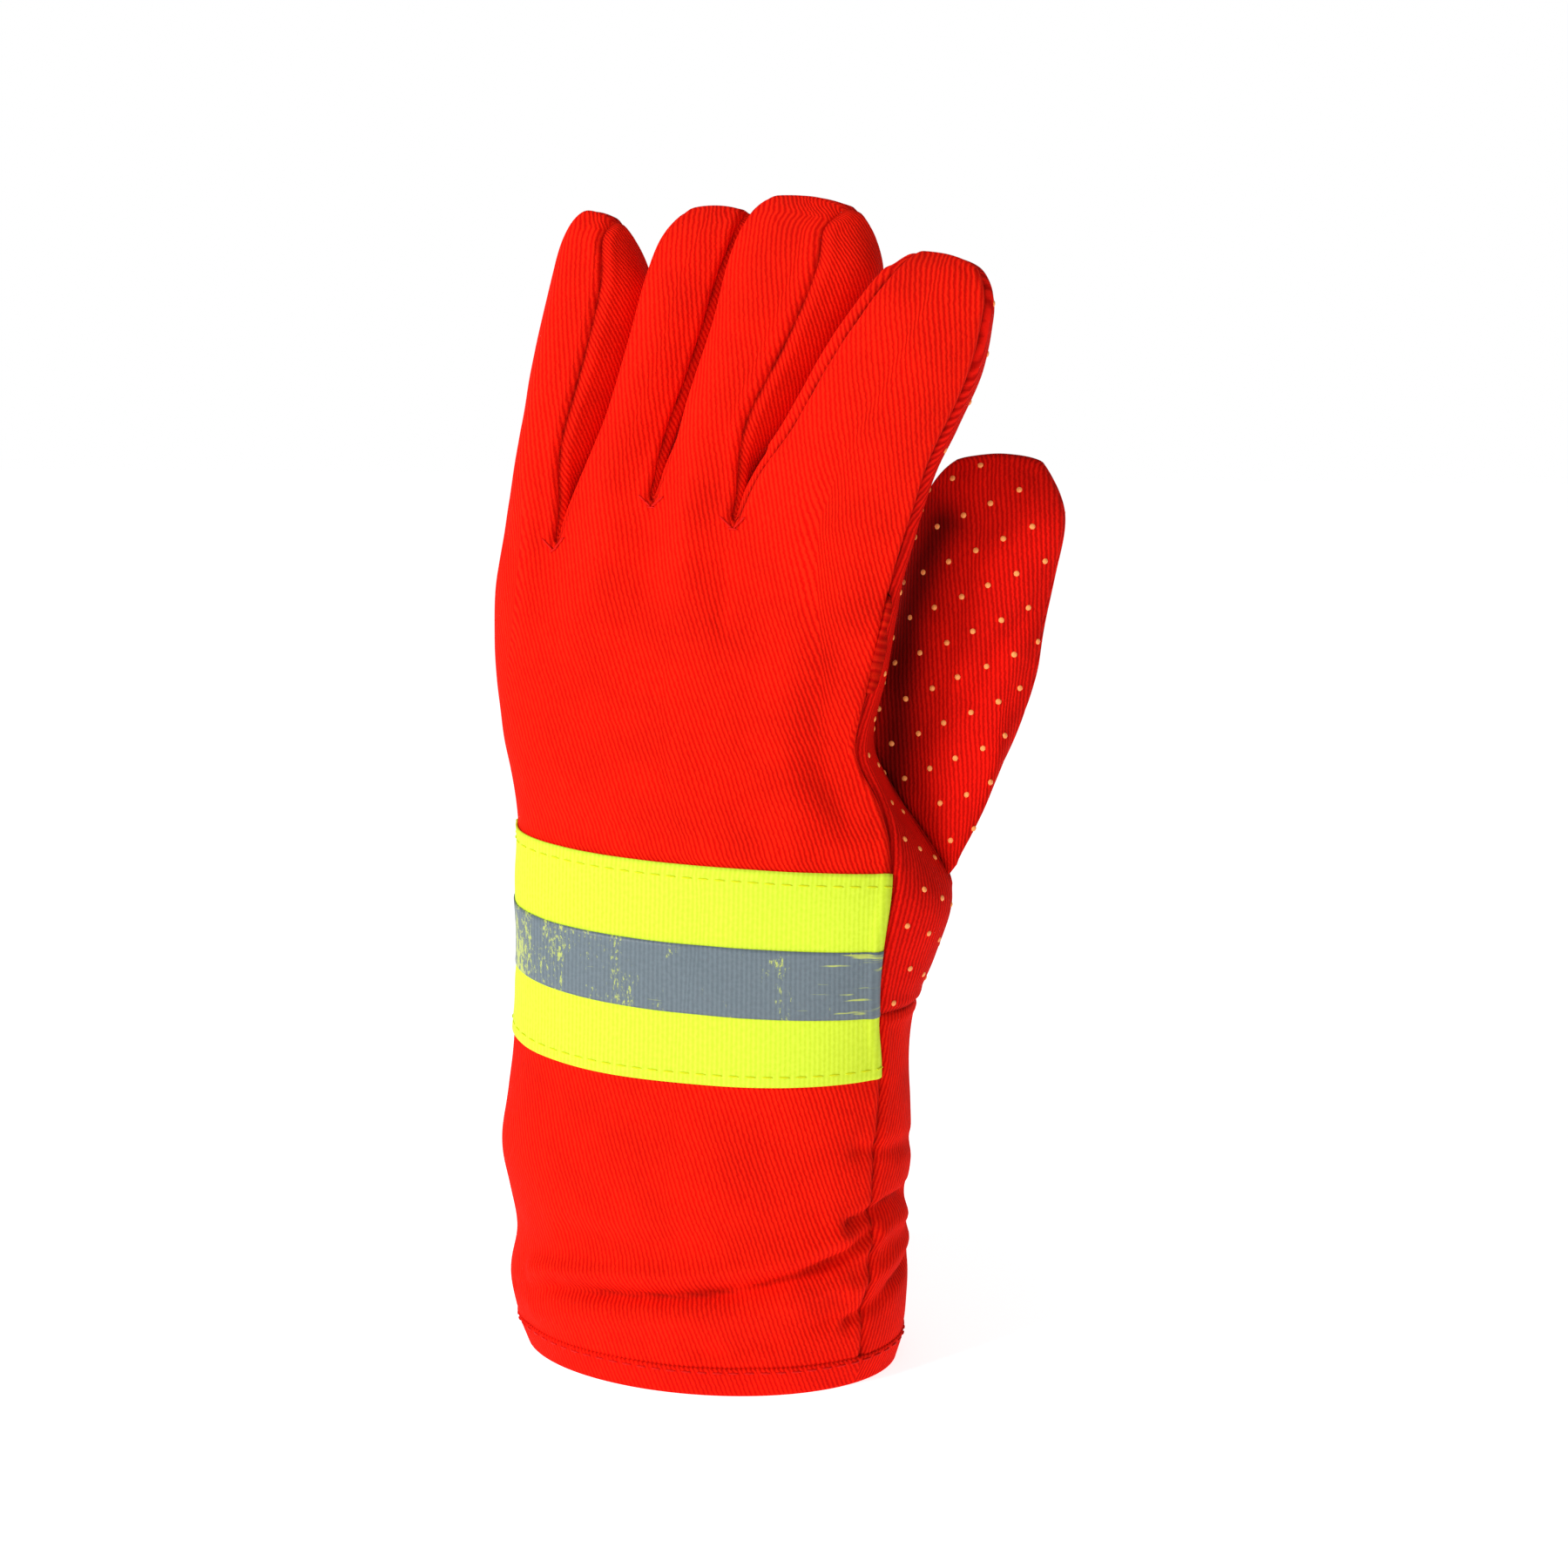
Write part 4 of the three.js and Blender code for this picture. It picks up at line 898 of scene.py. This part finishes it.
spots, outs = [], []
start = 0
for panel, points, flat, skip, share in patches:
    nu, nv = points.shape[:2]
    index = weld[start:start + nu * nv].reshape(nu, nv)
    start += nu * nv
    if panel not in ("palm_panel", "thumb_front", "thumb_rear"):
        continue
    net = kdtree.KDTree(nu * nv)
    for i, (u, w) in enumerate(flat.reshape(-1, 2)):
        net.insert((u, w, 0), i)
    net.balance()
    low, high = flat.reshape(-1, 2).min(0), flat.reshape(-1, 2).max(0)
    for a in range(-60, 60):
        for b in range(-60, 60):
            spot = a * DOT_ROW + b * DOT_NEXT + DOT_START
            if np.any(spot < low) or np.any(spot > high):
                continue
            _, i, away = net.find((spot[0], spot[1], 0))
            iu, iv = divmod(i, nv)
            if away > 1.2 or iu < 2 or iv < 2 or iu > nu - 3 or iv > nv - 3 * FINE // 4:
                continue
            near_hole = np.s_[max(0, iu - 2):iu + 2, max(0, iv - 2):iv + 2]
            if skip is not None and skip[near_hole].any():
                continue
            here = index[iu, iv]
            if seam_away[here] < SEAM_CLEAR:
                continue
            # the exact spot between the mesh points
            steps = np.stack([flat[iu + 1, iv] - flat[iu - 1, iv],
                              flat[iu, iv + 1] - flat[iu, iv - 1]], 1)
            share_u, share_v = np.linalg.lstsq(steps, spot - flat[iu, iv], rcond=None)[0]
            p = shell[here] + (shell[index[iu + 1, iv]] - shell[index[iu - 1, iv]]) * share_u
            p = p + (shell[index[iu, iv + 1]] - shell[index[iu, iv - 1]]) * share_v
            if np.linalg.norm(p - shell[here]) > 2:
                continue
            if panel == "palm_panel" and p[2] < PALM_FOOT:
                continue
            spots.append(p)
            outs.append(shell_normal[here])
spots, outs = np.array(spots), np.array(outs)


# A plain material on the ready-made shader, for plastic, thread and board.
def plain(name, colour, **settings):
    material = bpy.data.materials.new(name)
    material.use_nodes = True
    shader = material.node_tree.nodes["Principled BSDF"]
    shader.inputs["Base Color"].default_value = linear(colour)
    for label, value in settings.items():
        shader.inputs[label.replace("_", " ")].default_value = value
    return material


# Printed plastisol: satin and a little milky, so a dot looks soft at its edge.
rubber = plain("pale orange grip plastic", "#FF9E50", Roughness=0.55,
               Subsurface_Weight=0.1, Subsurface_Scale=0.001)
along = np.tile([0.3, 0.1, 1.0], (len(spots), 1))
dots = scatter("grip_dots", scatter_tree("domes on points", 10), spots, outs, along, rubber, **DOT)
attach(dots, "root")

# Sewing thread: short lockstitches about 3 mm long that lie on the cloth, along both edges of
# the tape, round the hem and across the ends of the gaps between the fingers. The polyester
# thread is a shade off the cloth or tape that it holds, with little gloss.
shell_tree = kdtree.KDTree(len(shell))
for i in np.flatnonzero(~unused):
    shell_tree.insert(Vector(shell[i]), int(i))
shell_tree.balance()


# Stitches along a path: it is laid on the cloth, "lift" above it, and cut into even pitches.
def stitch_line(path, pitch, lift):
    path = np.array(path, float)
    found = np.array([shell_tree.find(Vector(p))[1] for p in path])
    n = shell_normal[found]
    down = np.sum((path - shell[found]) * n, axis=1)
    path = path - n * (down - lift)[:, None]
    length = np.concatenate([[0], np.cumsum(np.linalg.norm(np.diff(path, axis=0), axis=1))])
    at = np.arange(pitch / 2, length[-1], pitch)

    def along_path(values, where):
        return np.stack([np.interp(where, length, values[:, i]) for i in range(3)], -1)

    out = along_path(n, at)
    out = out / np.linalg.norm(out, axis=1)[:, None]
    return along_path(path, at), out, along_path(path, at + 0.4) - along_path(path, at - 0.4)


thread_tree = scatter_tree("stitches on points", 8)
golden = plain("golden polyester thread", "#D2D818", Roughness=0.6, Specular_IOR_Level=0.1)
red = plain("red polyester thread", "#D0120A", Roughness=0.6, Specular_IOR_Level=0.1)
TAPE_STITCH = {"Length": 2.9, "Width": 0.5, "Height": 0.45, "Sink": 0.05}
HEM_STITCH = {"Length": 2.8, "Width": 0.6, "Height": 0.55, "Sink": 0.05}

s_stitch = np.linspace(0.04, 3.96, 400)
tape_seams = []
for edge, inset in ((BAND["low"], 2.6), (BAND["high"], -2.6)):
    line = hand("back", s_stitch, [edge])[:, 0] + [0, 0, inset]
    tape_seams.append(stitch_line(line, pitch=4.2, lift=0.85))
hem_seams = []
for side in ("back", "palm"):
    line = hand(side, s_stitch, [1])[:, 0] - [0, 0, 1.4]
    hem_seams.append(stitch_line(line, pitch=4.0, lift=0.5))
for gap in (1, 2, 3):
    foot = hand("back", [gap], [TOP - 0.04])[0, 0]
    line = [foot + [-3.0, 0, 1.2], foot + [0, 0, -1.6], foot + [3.0, 0, 0.8]]
    hem_seams.append(stitch_line(line, pitch=1.6, lift=0.25))
for name, rows, thread, sizes, slot in (
        ("tape_stitches", tape_seams, golden, TAPE_STITCH, "tape_yellow"),
        ("hem_stitches", hem_seams, red, HEM_STITCH, "red_twill")):
    spot, out, way = (np.concatenate([row[i] for row in rows]) for i in range(3))
    seam = scatter(name, thread_tree, spot, out, way, thread, **sizes)
    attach(seam, "root")

# Floor: a plain pale board, part of the stage only. The studio's walls are white to the eye
# and dimmer as a light, so that the shadows of the folds stay.
board_mesh = bpy.data.meshes.new("floor_board")
board_mesh.from_pydata([(-6, -6, 0), (6, -6, 0), (6, 6, 0), (-6, 6, 0)], [], [(0, 1, 2, 3)])
board = bpy.data.objects.new("floor_board", board_mesh)
bpy.context.collection.objects.link(board)
board_mesh.materials.append(plain(
    "white lit board", "#FAFAFA", Roughness=0.95, Emission_Strength=0.75,
    Emission_Color=(1.0, 1.0, 1.0, 1.0)))

world = bpy.data.worlds.new("studio")
world.use_nodes = True
room = world.node_tree
rays = add(room, "ShaderNodeLightPath")
strength = add(room, "ShaderNodeMapRange", {"Value": rays.outputs["Is Camera Ray"]}, in_3=0.29, in_4=1.0)
sky = room.nodes["Background"]
sky.inputs["Color"].default_value = (1.0, 1.0, 1.0, 1.0)
room.links.new(strength.outputs["Result"], sky.inputs["Strength"])
bpy.context.scene.world = world


def lamp(name, place, aim, size, power_watts):
    data = bpy.data.lights.new(name, "AREA")
    data.size = size
    data.energy = power_watts
    thing = bpy.data.objects.new(name, data)
    thing.location = place
    thing.rotation_euler = (Vector(aim) - Vector(place)).to_track_quat("-Z", "Y").to_euler()
    bpy.context.collection.objects.link(thing)


lamp("key", (-0.9, -1.0, 0.75), (0, 0, 0.16), size=0.4, power_watts=15.0)
lamp("fill", (0.35, -1.3, 0.15), (0, 0, 0.05), size=0.4, power_watts=2.2)

# Camera: from the photograph, 15 degrees to the thumb side and a little above the fingers.
AZIMUTH = math.radians(15)
DISTANCE, HEIGHT, AIM_UP, AIM_RIGHT = 600.0, 250.0, 150.0, 19.0
right = np.array([math.cos(AZIMUTH), math.sin(AZIMUTH), 0])
ahead = np.array([-math.sin(AZIMUTH), math.cos(AZIMUTH), 0])
aim = AIM_RIGHT * right + np.array([0, 0, AIM_UP])
place = AIM_RIGHT * right - DISTANCE * ahead + np.array([0, 0, HEIGHT])
camera_data = bpy.data.cameras.new("camera")
camera_data.sensor_fit = "HORIZONTAL"
camera_data.sensor_width = 36
camera_data.lens = 36 * 2730 / 1800
camera = bpy.data.objects.new("camera", camera_data)
camera.location = Vector((place - MIDDLE) * MM)
camera.rotation_euler = (Vector((aim - MIDDLE) * MM) - camera.location).to_track_quat("-Z", "Y").to_euler()
bpy.context.collection.objects.link(camera)
bpy.context.scene.camera = camera
bpy.context.scene.view_settings.view_transform = "Standard"
